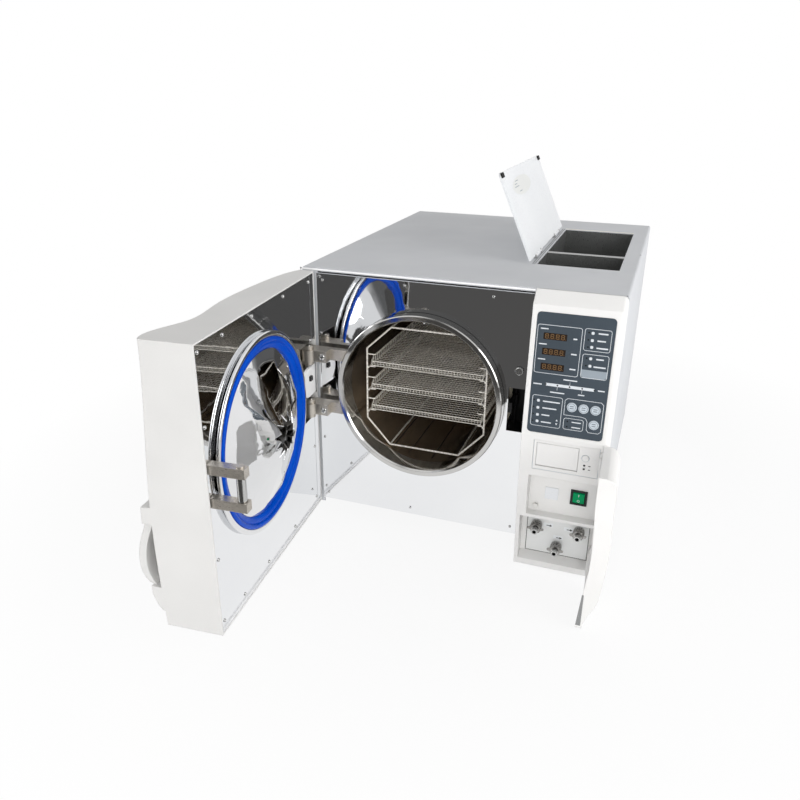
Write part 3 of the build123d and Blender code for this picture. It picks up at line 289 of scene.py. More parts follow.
def turned_ring(bm, profile, centre, steps, wave, place):
    """Turns (radius, height) pairs about the Y axis through centre; wave(radius, angle) adds height."""
    rings = []
    for radius, height in profile:
        ring = []
        for a in full_turn(steps):
            y = height + (wave(radius, a) if wave else 0)
            ring.append(bm.verts.new(place((centre[0] + radius * math.cos(a), centre[1] + y,
                                            centre[2] + radius * math.sin(a)))))
        rings.append(ring)
    for low, high in zip(rings, rings[1:]):
        wall(bm, low, high)
    return rings


# Pressure disc: a dome of twelve flat petals between rounded ridges, with a star-shaped dimple at its hub
petals, dome_foot, dome_top, dome_rim_r = 12, -4.7, 33.0, 116.8
ridge_share, ridge_fade, dome_curve, petal_bulge = 1.3, 14.0, 1.25, 0.8
star_r, star_reach, star_depth, star_wall = 21.0, 14.0, 8.0, 6.0
petal_part = math.pi / petals


def off_middle(angle):
    """The angle from the middle of its petal, in radians; the ridges are half a petal away."""
    return (angle + petal_part) % (2 * petal_part) - petal_part


def star_edge(angle, inner, reach):
    """Radius of a star whose points reach out along the ridges."""
    return inner + reach * (abs(off_middle(angle)) / petal_part) ** 1.6


def petal_height(radius, angle):
    local = off_middle(angle)
    fade = min(1.0, max(0.0, (dome_rim_r - radius) / ridge_fade))
    across = radius * (1 - ridge_share * fade * (1 - math.cos(local)))
    rise = (dome_top - dome_foot) * (1 - (across / dome_rim_r) ** dome_curve)
    rise += petal_bulge * fade * min(1.0, radius / 70) * (1 - (local / petal_part) ** 2)
    dimple = min(1.0, max(0.0, (star_edge(angle, star_r, star_reach) - radius) / star_wall))
    return dome_foot + rise - star_depth * dimple


bm = bmesh.new()
rim = [(136.5, -6.9), (138.8, -5.6), (139.6, -4.6), (141.1, -4.2), (141.5, -3.4), (141.5, -2.2), (140.9, -1.0),
       (139.8, -0.35), (138.2, -0.05), (134.5, 0.0), (133.9, -0.6), (133.8, -6.4), (117.0, -6.4), (116.85, -5.0)]
dome_radii = [dome_rim_r - k * 2.7 for k in range(30)] + [37.2 - k * 1.1 for k in range(21)]
rings = turned_ring(bm, rim + [(radius, 0.0) for radius in dome_radii], (axis_x, disc_y, axis_z), 288,
                    lambda radius, angle: petal_height(radius, angle) if radius <= dome_rim_r else 0.0, on_door)
bm.faces.new(rings[-1])
disc_petals = mesh_piece("disc_petals", bm, pressed_disc_steel, "door", 50)
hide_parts("pressure_disc")

# Floor of the star in the hub, a little proud of the dimple, dark with painted shade and painted reflection
floor_r, floor_reach, floor_proud, floor_steps = 20.0, 13.0, 0.25, 144
bm = bmesh.new()
heart = bm.verts.new(on_door((axis_x, disc_y + petal_height(0.0, 0.0) + floor_proud, axis_z)))
lower = None
for share in (0.34, 0.67, 1.0):
    ring = []
    for a in full_turn(floor_steps):
        r = star_edge(a, floor_r, floor_reach) * share
        ring.append(bm.verts.new(on_door((axis_x + r * math.cos(a), disc_y + petal_height(r, a) + floor_proud,
                                          axis_z + r * math.sin(a)))))
    if lower:
        wall(bm, lower, ring)
    else:
        for i in range(floor_steps):
            bm.faces.new((heart, ring[i], ring[(i + 1) % floor_steps]))
    lower = ring
mesh_piece("disc_hub_star", bm, hub_painted_shade, "door", 40)

# Door seal, as radius and height: a rounded crown at the outer edge, a crease, and a lip that slopes in to the petals
bm = bmesh.new()
bead = [(133.6, -6.2), (133.6, -0.2), (133.4, 0.7), (132.7, 1.3), (131.6, 1.6), (129.8, 1.6), (128.2, 1.1),
        (127.3, 0.1), (126.7, -1.3), (125.9, -1.6), (125.1, -1.0), (123.8, -1.0), (121.4, -2.1), (119.2, -3.2),
        (118.0, -4.2), (117.4, -4.8), (117.2, -6.2), (133.6, -6.2)]
turned_ring(bm, bead, (axis_x, disc_y, axis_z), 180, None, on_door)
seal_bead = mesh_piece("seal_bead", bm, blue_silicone, "door", 40)
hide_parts("door_seal")


# Wires, drawn as round bars along their points in mm; each run has its own weight on the common gauge
def wire_set(name, finish, runs, gauge):
    curve = bpy.data.curves.new(name, "CURVE")
    curve.dimensions = "3D"
    curve.bevel_depth = gauge * MM
    curve.bevel_resolution = 1
    for points, weight in runs:
        line = curve.splines.new("POLY")
        line.points.add(len(points) - 1)
        for spot, p in zip(line.points, points):
            spot.co = (p[0] * MM, p[1] * MM, p[2] * MM, 1)
            spot.radius = weight
    piece = bpy.data.objects.new(name, curve)
    bpy.context.collection.objects.link(piece)
    curve.materials.append(finish)
    return piece


# Woven tray: low comb in front and behind, taller comb at the sides, stouter rim wires
wire_r, tray_inset, tray_bend = 0.5, 1.3, 2.0
tray_rows, tray_columns = 43, 36
tray_lip, tray_side = 8.0, 14.5


def woven_tray(name, level):
    x0, x1 = axis_x - tray_half + tray_inset, axis_x + tray_half - tray_inset
    y0, y1 = rack_front + 4.3, rack_back - 5.3
    low, lip, side = level + 0.7, level + tray_lip, level + tray_side
    runs = []
    for i in range(tray_rows + 1):
        y = y0 + (y1 - y0) * i / tray_rows
        top = lip if i in (0, tray_rows) else side
        runs.append(([(x0, y, top), (x0, y, low + tray_bend), (x0 + tray_bend, y, low), (x1 - tray_bend, y, low),
                      (x1, y, low + tray_bend), (x1, y, top)], 1.3))
    for i in range(tray_columns + 1):
        x = x0 + (x1 - x0) * i / tray_columns
        runs.append(([(x, y0, lip), (x, y0, low + tray_bend), (x, y0 + tray_bend, low + 0.9),
                      (x, y1 - tray_bend, low + 0.9), (x, y1, low + tray_bend), (x, y1, lip)], 0.9))
    for y in (y0, y1):
        runs.append(([(x0, y, lip), (x1, y, lip)], 2.1))
        runs.append(([(x0, y, low), (x1, y, low)], 1.6))
    for x in (x0, x1):
        runs.append(([(x, y0, lip), (x, y0 + 9, side), (x, y1 - 9, side), (x, y1, lip)], 1.7))
    piece = wire_set(name + "_wires", rack_wire, runs, wire_r)
    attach(piece, name)
    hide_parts(name)


for name, level in tray_levels.items():
    woven_tray(name, level)

# Keeper rails of the rack, bent in from its upright wires above each tray
rail_half, rail_rise, rail_r = 85.0, 19.8, 1.1
runs = []
for level in tray_levels.values():
    for side in (-1, 1):
        upright, rail = axis_x + side * rack_upright, axis_x + side * rail_half
        runs.append(([(upright, rack_front + 1.4, level + rail_rise + 0.7),
                      (rail + side * 3, rack_front + 1.4, level + rail_rise + 0.7),
                      (rail, rack_front + 5, level + rail_rise), (rail, rack_back - 8, level + rail_rise)], 1.0))
rack_rails = wire_set("rack_keeper_rails", rack_wire, runs, rail_r)
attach(rack_rails, "rack")


# Screw heads, with a cross recess: each size is a radius and a height
head_steps = 20
liner_head, panel_head, sheet_head, arm_head = (2.5, 1.6), (2.2, 1.3), (3.4, 1.6), (5.2, 2.6)
side_head, side_sunk = (3.4, 1.3), 1.35
panel_screws = ((-208.0, 438.0), (-208.0, 66.0), (60.0, 438.0), (108.0, 66.0), (-60.0, 66.0))
rear_screws = ((-228.0, 58.0), (-228.0, 230.0), (-228.0, 425.0), (-80.0, 438.0), (80.0, 438.0), (228.0, 425.0),
               (228.0, 230.0), (228.0, 58.0), (80.0, 54.0), (-80.0, 54.0))


def pan_head(bm, centre, along, size, place):
    radius, height = size
    along = Vector(along).normalized()
    aside = along.orthogonal().normalized()
    third = along.cross(aside)
    spokes = [aside * math.cos(a) + third * math.sin(a) for a in full_turn(head_steps)]
    rings = []
    for scale, rise in ((1.0, 0.0), (1.0, 0.35), (0.86, 0.78), (0.55, 1.0)):
        rings.append([bm.verts.new(place(Vector(centre) + along * height * rise + spoke * radius * scale))
                      for spoke in spokes])
    recess = [bm.verts.new(place(Vector(centre) + along * height * 0.6
                                 + spoke * radius * (0.42 if i % 5 else 0.18)))
              for i, spoke in enumerate(spokes)]
    for low, high in zip(rings, rings[1:] + [recess]):
        wall(bm, low, high)
    bm.faces.new(recess)


bm = bmesh.new()
for z in (door_low + 14, 160.0, 345.0, door_high - 14):
    for x in (door_left + 15, door_left + door_w - 13):
        pan_head(bm, (x, liner_y, z), (0, 1, 0), liner_head, on_door)
for x in (door_left + 110, door_left + 210, door_left + 290):
    for z in (door_low + 12, door_high - 12):
        pan_head(bm, (x, liner_y, z), (0, 1, 0), liner_head, on_door)
mesh_piece("liner_screw_heads", bm, bright_pin, "door")

# Screws of the panel, of the rear sheet and of the cover's sides, and the bolts of the hinge arms
bm = bmesh.new()
for x, z in panel_screws:
    pan_head(bm, (x, front, z), (0, -1, 0), panel_head, in_place)
mesh_piece("panel_screw_heads", bm, bright_pin, "frame")

bm = bmesh.new()
for x, z in rear_screws:
    pan_head(bm, (x, back_sheet, z), (0, 1, 0), sheet_head, in_place)
mesh_piece("rear_screw_heads", bm, bright_pin, "frame")

bm = bmesh.new()
for outward in (-1, 1):
    for y in (-250.0, -90.0, 90.0, 250.0):
        pan_head(bm, (outward * (side_x - side_sunk), y, 56.0), (outward, 0, 0), side_head, in_place)
mesh_piece("cover_side_screw_heads", bm, bright_pin, "frame")

bm = bmesh.new()
for z in (235.0, 325.0):
    pan_head(bm, (-197.0, -324.0, z), (0, -1, 0), arm_head, in_place)
mesh_piece("arm_bolt_heads", bm, bright_pin, "frame")


# Membrane print: thin film pieces on the tilted face, with their heights over it
window_proud, segment_proud, line_proud, dot_proud = 0.10, 0.14, 0.09, 0.12
key_print_proud, key_bar_proud = 1.05, 1.06
lean = math.atan2(face_top[0] - face_bottom[0], face_top[1] - face_bottom[1])
face_dir = Vector((0, -math.cos(lean), math.sin(lean)))


def on_face(x, z, proud):
    t = (z - face_bottom[1]) / (face_top[1] - face_bottom[1])
    base = Vector((x, face_bottom[0] + t * (face_top[0] - face_bottom[0]), z))
    return (base + face_dir * proud) * MM


def rounded_loop(x0, x1, z0, z1, radius, steps=5):
    loop = []
    for cx, cz, start in ((x1 - radius, z1 - radius, 0), (x0 + radius, z1 - radius, 90),
                          (x0 + radius, z0 + radius, 180), (x1 - radius, z0 + radius, 270)):
        for k in range(steps + 1):
            a = math.radians(start + 90 * k / steps)
            loop.append((cx + radius * math.cos(a), cz + radius * math.sin(a)))
    return loop


def film(bm, loop, proud, place=on_face, thick=0.06):
    """A closed film with its outer face this proud of the face under it."""
    top = [bm.verts.new(place(x, z, proud)) for x, z in loop]
    low = [bm.verts.new(place(x, z, proud - thick)) for x, z in loop]
    bm.faces.new(top)
    wall(bm, low, top)


def film_line(bm, x0, x1, z0, z1, radius, width, proud, place=on_face):
    """A printed line of this width inside the rounded outline."""
    outer = rounded_loop(x0, x1, z0, z1, radius)
    inner = rounded_loop(x0 + width, x1 - width, z0 + width, z1 - width, max(0.2, radius - width))
    wall(bm, [bm.verts.new(place(x, z, proud)) for x, z in outer],
         [bm.verts.new(place(x, z, proud)) for x, z in inner])


def bar(x0, x1, z0, z1):
    return [(x0, z0), (x1, z0), (x1, z1), (x0, z1)]


displays = ((137.3, 170.0, 389.3, 398.8), (137.3, 170.0, 367.0, 376.7), (137.3, 170.0, 345.0, 354.8))
bm = bmesh.new()
for x0, x1, z0, z1 in displays:
    film(bm, rounded_loop(x0, x1, z0, z1, 0.8), window_proud)
mesh_piece("display_windows", bm, window_tint, "frame", 0)

# Four plain figure-eights in each display, each with its point
digits, digit_step, digit_inset, stroke = 4, 7.4, 4.9, 0.42
segments = ((0, 3.1, 1.6, stroke), (0, 0, 1.6, stroke), (0, -3.1, 1.6, stroke), (-2.0, 1.6, stroke, 1.2),
            (2.0, 1.6, stroke, 1.2), (-2.0, -1.6, stroke, 1.2), (2.0, -1.6, stroke, 1.2))
bm = bmesh.new()
for x0, x1, z0, z1 in displays:
    mid = (z0 + z1) / 2
    for digit in range(digits):
        cx = x0 + digit_inset + digit * digit_step
        for sx, sz, w, h in segments:
            film(bm, bar(cx + sx - w, cx + sx + w, mid + sz - h, mid + sz + h), segment_proud, thick=0.02)
        film(bm, bar(cx + 3.2, cx + 3.9, mid - 3.4, mid - 2.7), segment_proud, thick=0.02)
mesh_piece("display_segments", bm, segment_glow, "frame", 0)

# Outlines of the groups, in mm on the face: left, right, low, high
groups = ((128.3, 190.0, 339.8, 410.2), (193.0, 229.4, 379.4, 411.0), (193.4, 229.6, 340.2, 375.0),
          (130.1, 173.4, 259.6, 306.6), (177.2, 205.6, 260.2, 277.8))
bm = bmesh.new()
for group in groups:
    film_line(bm, *group, 3.4, 0.7, line_proud)
# Outline round the keys: an L with its foot under the last key
half_line = 0.35
key_outline = [(176.8, 282.0), (202.0, 282.0), (207.6, 280.6), (210.2, 276.0), (210.3, 263.6), (213.6, 260.3),
               (227.0, 260.3), (230.4, 263.6), (230.2, 303.6), (226.8, 307.0), (180.0, 307.0), (176.6, 303.6)]
for (xa, za), (xb, zb) in zip(key_outline, key_outline[1:] + key_outline[:1]):
    run = math.hypot(xb - xa, zb - za)
    nx, nz = (zb - za) / run * half_line, (xa - xb) / run * half_line
    film(bm, [(xa - nx, za - nz), (xb - nx, zb - nz), (xb + nx, zb + nz), (xa + nx, za + nz)], line_proud)
# Short bars where the panel has its captions: left, right, middle, height
captions = ((178.6, 184.0, 393.6, 1.4), (177.6, 185.4, 371.8, 1.4), (177.6, 186.0, 350.2, 1.4),
            (132.4, 143.5, 404.3, 1.1), (132.0, 143.0, 382.2, 1.1), (132.4, 143.0, 360.3, 1.1),
            (211.4, 224.4, 405.0, 1.4), (210.8, 222.3, 394.7, 1.4), (210.7, 226.4, 384.6, 1.4),
            (212.3, 222.6, 368.7, 1.4), (209.8, 226.4, 357.6, 1.4), (129.4, 141.6, 323.2, 1.2),
            (171.0, 190.4, 333.8, 1.2), (154.0, 174.4, 313.2, 1.2), (193.2, 202.3, 314.3, 1.2),
            (219.6, 229.2, 324.0, 1.2), (145.4, 169.8, 298.2, 1.3), (145.6, 165.8, 288.0, 1.3),
            (145.3, 156.8, 277.3, 1.3), (145.4, 160.0, 266.4, 1.3), (188.8, 202.0, 272.4, 1.1),
            (189.2, 202.0, 264.6, 1.1))
for x0, x1, z, tall in captions:
    film(bm, rounded_loop(x0, x1, z - 0.72 * tall, z + 0.72 * tall, 0.6), line_proud)
# Plain round marks beside them, two small wedges and the chain of stages
round_marks = ((139.0, 298.4), (139.2, 287.6), (139.5, 276.8), (139.9, 266.8), (204.0, 404.8), (204.1, 394.6),
               (204.3, 385.0), (204.8, 368.7), (204.9, 358.2))
for x, z in round_marks:
    film(bm, rounded_loop(x - 2.0, x + 2.0, z - 2.0, z + 2.0, 1.3), line_proud)
for x, z, up in ((167.7, 271.6, 1), (167.6, 266.0, -1)):
    film(bm, [(x - 1.6, z - 1.2 * up), (x + 1.6, z - 1.2 * up), (x, z + 1.8 * up)][::up], line_proud)
film(bm, rounded_loop(147.0, 215.0, 322.0, 326.2, 1.2), line_proud)
for x in (163.6, 198.1):
    film(bm, bar(x - 0.25, x + 0.25, 317.0, 322.6), line_proud)
film(bm, bar(180.4, 180.9, 325.6, 331.0), line_proud)
mesh_piece("membrane_lines", bm, line_print, "frame", 0)

# Grey field at the foot of the lower right group
grey_field = [(194.1, 352.2), (194.1, 343.6), (197.0, 340.9), (226.0, 340.9), (228.9, 343.6), (228.9, 352.2)]
bm = bmesh.new()
film(bm, grey_field, window_proud)
mesh_piece("membrane_grey_key", bm, bar_print, "frame", 0)

# Unlit lamps
lamp_spots = ((198.6, 405.3), (198.7, 395.0), (199.2, 384.8), (199.3, 369.0), (199.4, 358.3), (147.0, 324.1),
              (163.6, 324.1), (180.6, 324.1), (198.1, 324.1), (215.0, 324.1), (133.1, 298.8), (133.0, 288.2),
              (133.2, 277.3), (133.4, 266.8), (182.9, 272.7), (182.8, 264.7))
bm = bmesh.new()
for x, z in lamp_spots:
    film(bm, rounded_loop(x - 1.2, x + 1.2, z - 1.2, z + 1.2, 1.15), dot_proud)
mesh_piece("membrane_lamps", bm, black_and_painted_shade, "frame", 0)


# Ring and two short bars printed on each key
key_ring_r = 5.6


def key_ring(number, x, z):
    bm = bmesh.new()
    film_line(bm, x - key_ring_r, x + key_ring_r, z - key_ring_r, z + key_ring_r, 5.5, 0.4, key_print_proud)
    for level in (-1.5, 1.5):
        film(bm, bar(x - 2.7, x + 2.7, z + level - 0.45, z + level + 0.45), key_bar_proud)
    mesh_piece(f"key_ring_{number}", bm, membrane_film, f"key_{number}", 0)


for number, (x, z) in enumerate(key_spots, start=1):
    key_ring(number, x, z)


# Two lamps and their small marks on the printer
print_proud, gap_proud, plate_rise = 0.08, 0.05, 1.6


def on_print(x, z, proud):
    return Vector((x, printer_front - proud, z)) * MM


def on_plate(x, z, proud):
    return Vector((x, valve_back - plate_rise - proud, z)) * MM


bm = bmesh.new()
for z in (206.2, 200.2):
    film(bm, rounded_loop(211.6, 214.8, z - 1.5, z + 1.5, 1.45), print_proud, on_print)
    film(bm, rounded_loop(219.2, 222.4, z - 0.8, z + 0.4, 0.5), print_proud, on_print)
mesh_piece("printer_lamps", bm, black_and_painted_shade, "frame", 0)

# Button ring and the fine shadow line round the printer: painted shadow lines in the grey key ink
bm = bmesh.new()
film_line(bm, 208.2, 219.8, 212.2, 223.8, 5.7, 0.5, gap_proud, on_print)
film_line(bm, 138.2, 233.7, 188.2, 236.8, 0.5, 0.5, gap_proud, on_print)
mesh_piece("printer_shadow_lines", bm, key_ink_and_shadow, "frame", 0)

# Dark gap round the valve plate: a line of painted shade on the plate
bm = bmesh.new()
film_line(bm, 133.3, 231.2, 22.3, 88.2, 0.5, 0.9, gap_proud, on_plate)
mesh_piece("valve_plate_gap", bm, black_and_painted_shade, "frame", 0)


# Line and ring of the mains switch, on its tilted rocker
rocker_half = 6.0


def on_rocker(x, z, proud):
    tilt = math.radians(rocker_tilt)
    v, w = -rocker_half - proud, z - rocker_z
    return Vector((x, rocker_y + v * math.cos(tilt) - w * math.sin(tilt),
                   rocker_z + v * math.sin(tilt) + w * math.cos(tilt))) * MM


bm = bmesh.new()
film(bm, bar(209.0, 210.0, 142.0, 145.6), print_proud, on_rocker)
film_line(bm, 207.6, 211.4, 133.4, 137.2, 1.85, 0.6, print_proud, on_rocker)
mesh_piece("rocker_marks", bm, line_print, "rocker", 0)

# Square bolt of the hinge plate, with a small chamfer round its face
bolt_x, bolt_z, bolt_half, bolt_foot = door_left + 28.0, 286.5, 3.8, 1.9
bm = bmesh.new()
rings = []
for inset, rise in ((0.0, bolt_foot), (0.0, 5.2), (0.8, 5.9)):
    half = bolt_half - inset
    square = [(bolt_x - half, bolt_z - half), (bolt_x + half, bolt_z - half), (bolt_x + half, bolt_z + half),
              (bolt_x - half, bolt_z + half)]
    rings.append([bm.verts.new(on_door((x, liner_y + rise, z))) for x, z in square])
for low, high in zip(rings, rings[1:]):
    wall(bm, low, high)
bm.faces.new(rings[-1])
mesh_piece("plate_bolt_head", bm, black_and_painted_shade, "door", 0)

# Folded lower edge of the door liner, drawn as a white strip of painted highlight
fold_in, fold_z = 1.3, door_low + liner_edge + 1.26
fold_left, fold_right = door_left + liner_edge + fold_in, door_left + door_w - liner_edge - fold_in
bm = bmesh.new()
patch(bm, ((fold_left, liner_y + 0.02, fold_z), (fold_right, liner_y + 0.02, fold_z),
           (fold_right, rim_y - 0.3, fold_z), (fold_left, rim_y - 0.3, fold_z)), on_door)
mesh_piece("liner_fold_highlight", bm, white_paint_and_highlight, "door", 0)

# White hems of the cover along the top and the left edge of the panel: painted highlight on the lit edges
hem_proud, hem_left, hem_high = 0.12, -244.8, 454.8


def on_front(x, z, proud):
    return Vector((x, front - proud, z)) * MM


bm = bmesh.new()
film(bm, bar(hem_left, 118.5, 452.4, hem_high), hem_proud, on_front)
film(bm, bar(hem_left, -242.6, cover_low + 0.4, hem_high), hem_proud, on_front)
mesh_piece("cover_hem_highlight", bm, white_paint_and_highlight, "frame", 0)

# Small dark screws in the top of the cover, at its right edge
screw_r, screw_proud = 1.5, 0.3
bm = bmesh.new()
for x, y in ((241.8, -284.0), (242.6, -6.0)):
    patch(bm, [(x + screw_r * math.cos(a), y + screw_r * math.sin(a), cover_top + screw_proud)
               for a in full_turn(16)], in_place)
mesh_piece("cover_screws", bm, black_and_painted_shade, "frame", 0)


# Seams of the lid strip beside the tank, and the sealant along its rear edge
def on_top(x, y, proud):
    return Vector((x, y, cover_top + proud)) * MM


bm = bmesh.new()
for x in (85.6, 88.6):
    film(bm, bar(x, x + 0.9, -137.0, 190.0), 0.10, on_top)
mesh_piece("lid_strip_seams", bm, black_and_painted_shade, "frame", 0)
bm = bmesh.new()
film(bm, rounded_loop(91.0, 219.0, 188.3, 194.8, 1.2), 0.2, on_top, 0.15)
mesh_piece("tank_sealant", bm, cream_sealant, "frame", 0)

# Seams of the drain plate along the chamber floor
seam_r, seam_half_turn, seam_front, seam_back = 122.1, 0.3, -262.0, 100.0
bm = bmesh.new()
for turn in (-116, -103, -84, -66):
    a, b = math.radians(turn - seam_half_turn), math.radians(turn + seam_half_turn)
    patch(bm, [(axis_x + seam_r * math.cos(k), y, axis_z + seam_r * math.sin(k))
               for k, y in ((a, seam_front), (b, seam_front), (b, seam_back), (a, seam_back))], in_place)
mesh_piece("chamber_floor_seams", bm, black_and_painted_shade, "frame", 0)

# Lining that closes the finger gap behind the bow handle, dark with painted shade: depth behind the rim, and height
lining_x = door_left + door_w - 26.6
gap_line = ((92, 110.6), (97.2, 118), (101.2, 128), (102.7, 142), (100.7, 160), (96.2, 178), (90.2, 193),
            (86.7, 204.4), (80, 204.4), (80, 110.6))
bm = bmesh.new()
patch(bm, [(lining_x, rim_y - depth, z) for depth, z in gap_line], on_door)
mesh_piece("grip_gap_shade_lining", bm, grip_gap_painted_shade, "door", 0)

# Hollow of the flap that shows at its free end: a grey sheet of painted shade
flap_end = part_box("service_flap")[0][1] / MM
hollow_line = ((241.2, 61.0), (238.6, 61.0), (234.2, 8.0), (241.2, 8.0))
bm = bmesh.new()
patch(bm, [(x, flap_end - 0.12, z) for x, z in hollow_line], in_place)
mesh_piece("flap_end_hollow", bm, fold_shade, "flap", 0)

# Label beside each coupling, and the arrow on it
label_proud, arrow_proud = 0.10, 0.14
label_spots = ((161.0, 74.5), (193.0, 73.0), (178.0, 55.0))
bm = bmesh.new()
for x, z in label_spots:
    film(bm, rounded_loop(x - 1.5, x + 13.5, z - 3.4, z + 3.4, 1.2), label_proud, on_plate)
mesh_piece("coupling_label_stickers", bm, lamp_print, "frame", 0)
bm = bmesh.new()
for x, z in label_spots:
    film(bm, bar(x + 3.0, x + 8.2, z - 1.6, z - 0.4), arrow_proud, on_plate)
    film(bm, [(x + 8.2, z - 3.0), (x + 12.0, z - 1.0), (x + 8.2, z + 1.0)], arrow_proud, on_plate)
mesh_piece("coupling_arrows", bm, black_and_painted_shade, "frame", 0)

# Knurled coupling collars with two bent wings: radius and depth of the turned outline, then one wing
collar_foot, collar_steps, knurl_depth, knurl_from_r = 5.4, 60, 0.9, 8.5
collar_line = [(5.0, 0.0), (8.4, 0.0), (9.0, -0.8), (9.0, -5.0), (7.6, -5.6), (7.6, -6.8), (9.0, -7.4),
               (9.0, -11.8), (7.9, -12.8), (6.5, -13.0), (6.4, -13.6), (5.0, -13.7)]
wing_line = [(7.0, 2.0), (10.5, 2.2), (12.6, 1.4), (12.9, 0.0), (12.6, -1.4), (10.5, -2.2), (7.0, -2.0)]
wing_front, wing_back = valve_back - 17.9, valve_back - 16.4


def knurled_collar(number, x, z):
    bm = bmesh.new()
    rings = []
    for radius, height in collar_line:
        ring = []
        for i, a in enumerate(full_turn(collar_steps)):
            r = radius - (knurl_depth if i % 4 > 1 and radius > knurl_from_r else 0.0)
            ring.append(bm.verts.new(in_place((x + r * math.cos(a), valve_back - collar_foot + height,
                                               z + r * math.sin(a)))))
        rings.append(ring)
    for low, high in zip(rings, rings[1:]):
        wall(bm, low, high)
    for side in (-1, 1):
        near = [bm.verts.new(in_place((x + side * u, wing_front, z + v))) for u, v in wing_line]
        far = [bm.verts.new(in_place((x + side * u, wing_back, z + v))) for u, v in wing_line]
        bm.faces.new(near)
        bm.faces.new(far)
        wall(bm, near, far)
    piece = mesh_piece(f"knurled_collar_{number}", bm, knurled_chrome, f"collar_{number}", 30)
    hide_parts(f"coupling_collar_{number}")


for number, (x, z) in enumerate(nozzle_spots, start=1):
    knurled_collar(number, x, z)

# Dark bore of each coupling, set back inside it: a black disc of painted shade
bm = bmesh.new()
for x, z in nozzle_spots:
    rings = turned_ring(bm, [(2.95, -12.0), (2.9, -11.5)], (x, valve_back, z), 24, None, in_place)
    bm.faces.new(rings[0])
mesh_piece("coupling_bores", bm, black_and_painted_shade, "frame", 0)

# Oval label on the inside of the tank lid, the plain bars on it, and rubber pads at the lid's free corners
label_u, label_y, label_half_u, label_half_y, label_drop = 112, -18, 15.5, 71, 1.42
bm = bmesh.new()
patch(bm, [(lid_x + label_u + label_half_u * math.sin(a), label_y + label_half_y * math.cos(a), lid_z - label_drop)
           for a in full_turn(64)], on_lid)
mesh_piece("lid_oval_label", bm, label_vinyl, "tank_cover", 0)
bar_drop, bar_w = 1.48, 1.1
bm = bmesh.new()
for u, y0, y1 in ((121.0, -62.0, -38.0), (116.5, -70.0, -52.0), (112.0, -74.0, -42.0), (103.0, -50.0, -30.0)):
    patch(bm, [(lid_x + u + du, y, lid_z - bar_drop) for du, y in ((0, y0), (0, y1), (bar_w, y1), (bar_w, y0))],
          on_lid)
mesh_piece("lid_label_bars", bm, bar_print, "tank_cover", 0)
pad_u, pad_foot, pad_face = 139.2, 1.32, 3.2
bm = bmesh.new()
for y in (-129.0, 182.0):
    low, high = ([bm.verts.new(on_lid((lid_x + pad_u + u, y + v, lid_z - drop)))
                  for u, v in rounded_loop(-half_u, half_u, -half_v, half_v, 2.0)]
                 for half_u, half_v, drop in ((4.2, 8.5, pad_foot), (3.8, 8.0, pad_face)))
    bm.faces.new(high)
    wall(bm, low, high)
mesh_piece("lid_pad_caps", bm, black_rubber, "tank_cover", 0)

# Table: white to the eye and in reflections; the diffuse part keeps the shadow, more of it near the object
near_white, near_m, far_m = 0.88, 0.5, 1.0
stage_white = bpy.data.materials.new("white_table")
stage_white.use_nodes = True
tree = stage_white.node_tree
tree.nodes.clear()
paths = put(tree, "ShaderNodeLightPath")
table = put(tree, "ShaderNodeBsdfDiffuse", ins={"Color": linear("#F6F6F6")})
lift = put(tree, "ShaderNodeEmission", ins={"Color": linear("#FFFFFF"), "Strength": 1.0})
direct = put(tree, "ShaderNodeMath", {"operation": "MAXIMUM"},
             {0: paths.outputs["Is Camera Ray"], 1: paths.outputs["Is Transmission Ray"]})
looked = put(tree, "ShaderNodeMath", {"operation": "MAXIMUM"},
             {0: direct.outputs[0], 1: paths.outputs["Is Glossy Ray"]})
spot = put(tree, "ShaderNodeTexCoord")
away = put(tree, "ShaderNodeVectorMath", {"operation": "LENGTH"}, {0: spot.outputs["Object"]})
whiter = put(tree, "ShaderNodeMapRange", ins={"Value": away.outputs["Value"], "From Min": near_m,
                                              "From Max": far_m, "To Min": near_white, "To Max": 1.0})
seen = put(tree, "ShaderNodeMath", {"operation": "MULTIPLY"}, {0: looked.outputs[0], 1: whiter.outputs[0]})
floor_mix = put(tree, "ShaderNodeMixShader", ins={0: seen.outputs[0], 1: table.outputs[0], 2: lift.outputs[0]})
put(tree, "ShaderNodeOutputMaterial", ins={"Surface": floor_mix.outputs[0]})

# Dark card that only mirrors see, where the table ends and the room of the photo is dark
dark_card = bpy.data.materials.new("dark_room_card")
dark_card.use_nodes = True
tree = dark_card.node_tree
tree.nodes.clear()
paths = put(tree, "ShaderNodeLightPath")
clear = put(tree, "ShaderNodeBsdfTransparent")
room = put(tree, "ShaderNodeEmission", ins={"Color": linear("#525150"), "Strength": 1.0})
card_mix = put(tree, "ShaderNodeMixShader", ins={0: paths.outputs["Is Glossy Ray"], 1: clear.outputs[0],
                                                 2: room.outputs[0]})
put(tree, "ShaderNodeOutputMaterial", ins={"Surface": card_mix.outputs[0]})


def stage_sheet(name, x0, x1, y0, y1, z, finish):
    mesh = bpy.data.meshes.new(name)
    mesh.from_pydata([(x0, y0, z), (x1, y0, z), (x1, y1, z), (x0, y1, z)], [], [(0, 1, 2, 3)])
    sheet = bpy.data.objects.new(name, mesh)
    bpy.context.collection.objects.link(sheet)
    mesh.materials.append(finish)


table_half, table_end = 9, -0.96
stage_sheet("table_top", -table_half, table_half, -table_half, table_half, -0.0006, stage_white)
stage_sheet("dark_room", -table_half, table_half, -table_half, table_end, 0.0012, dark_card)

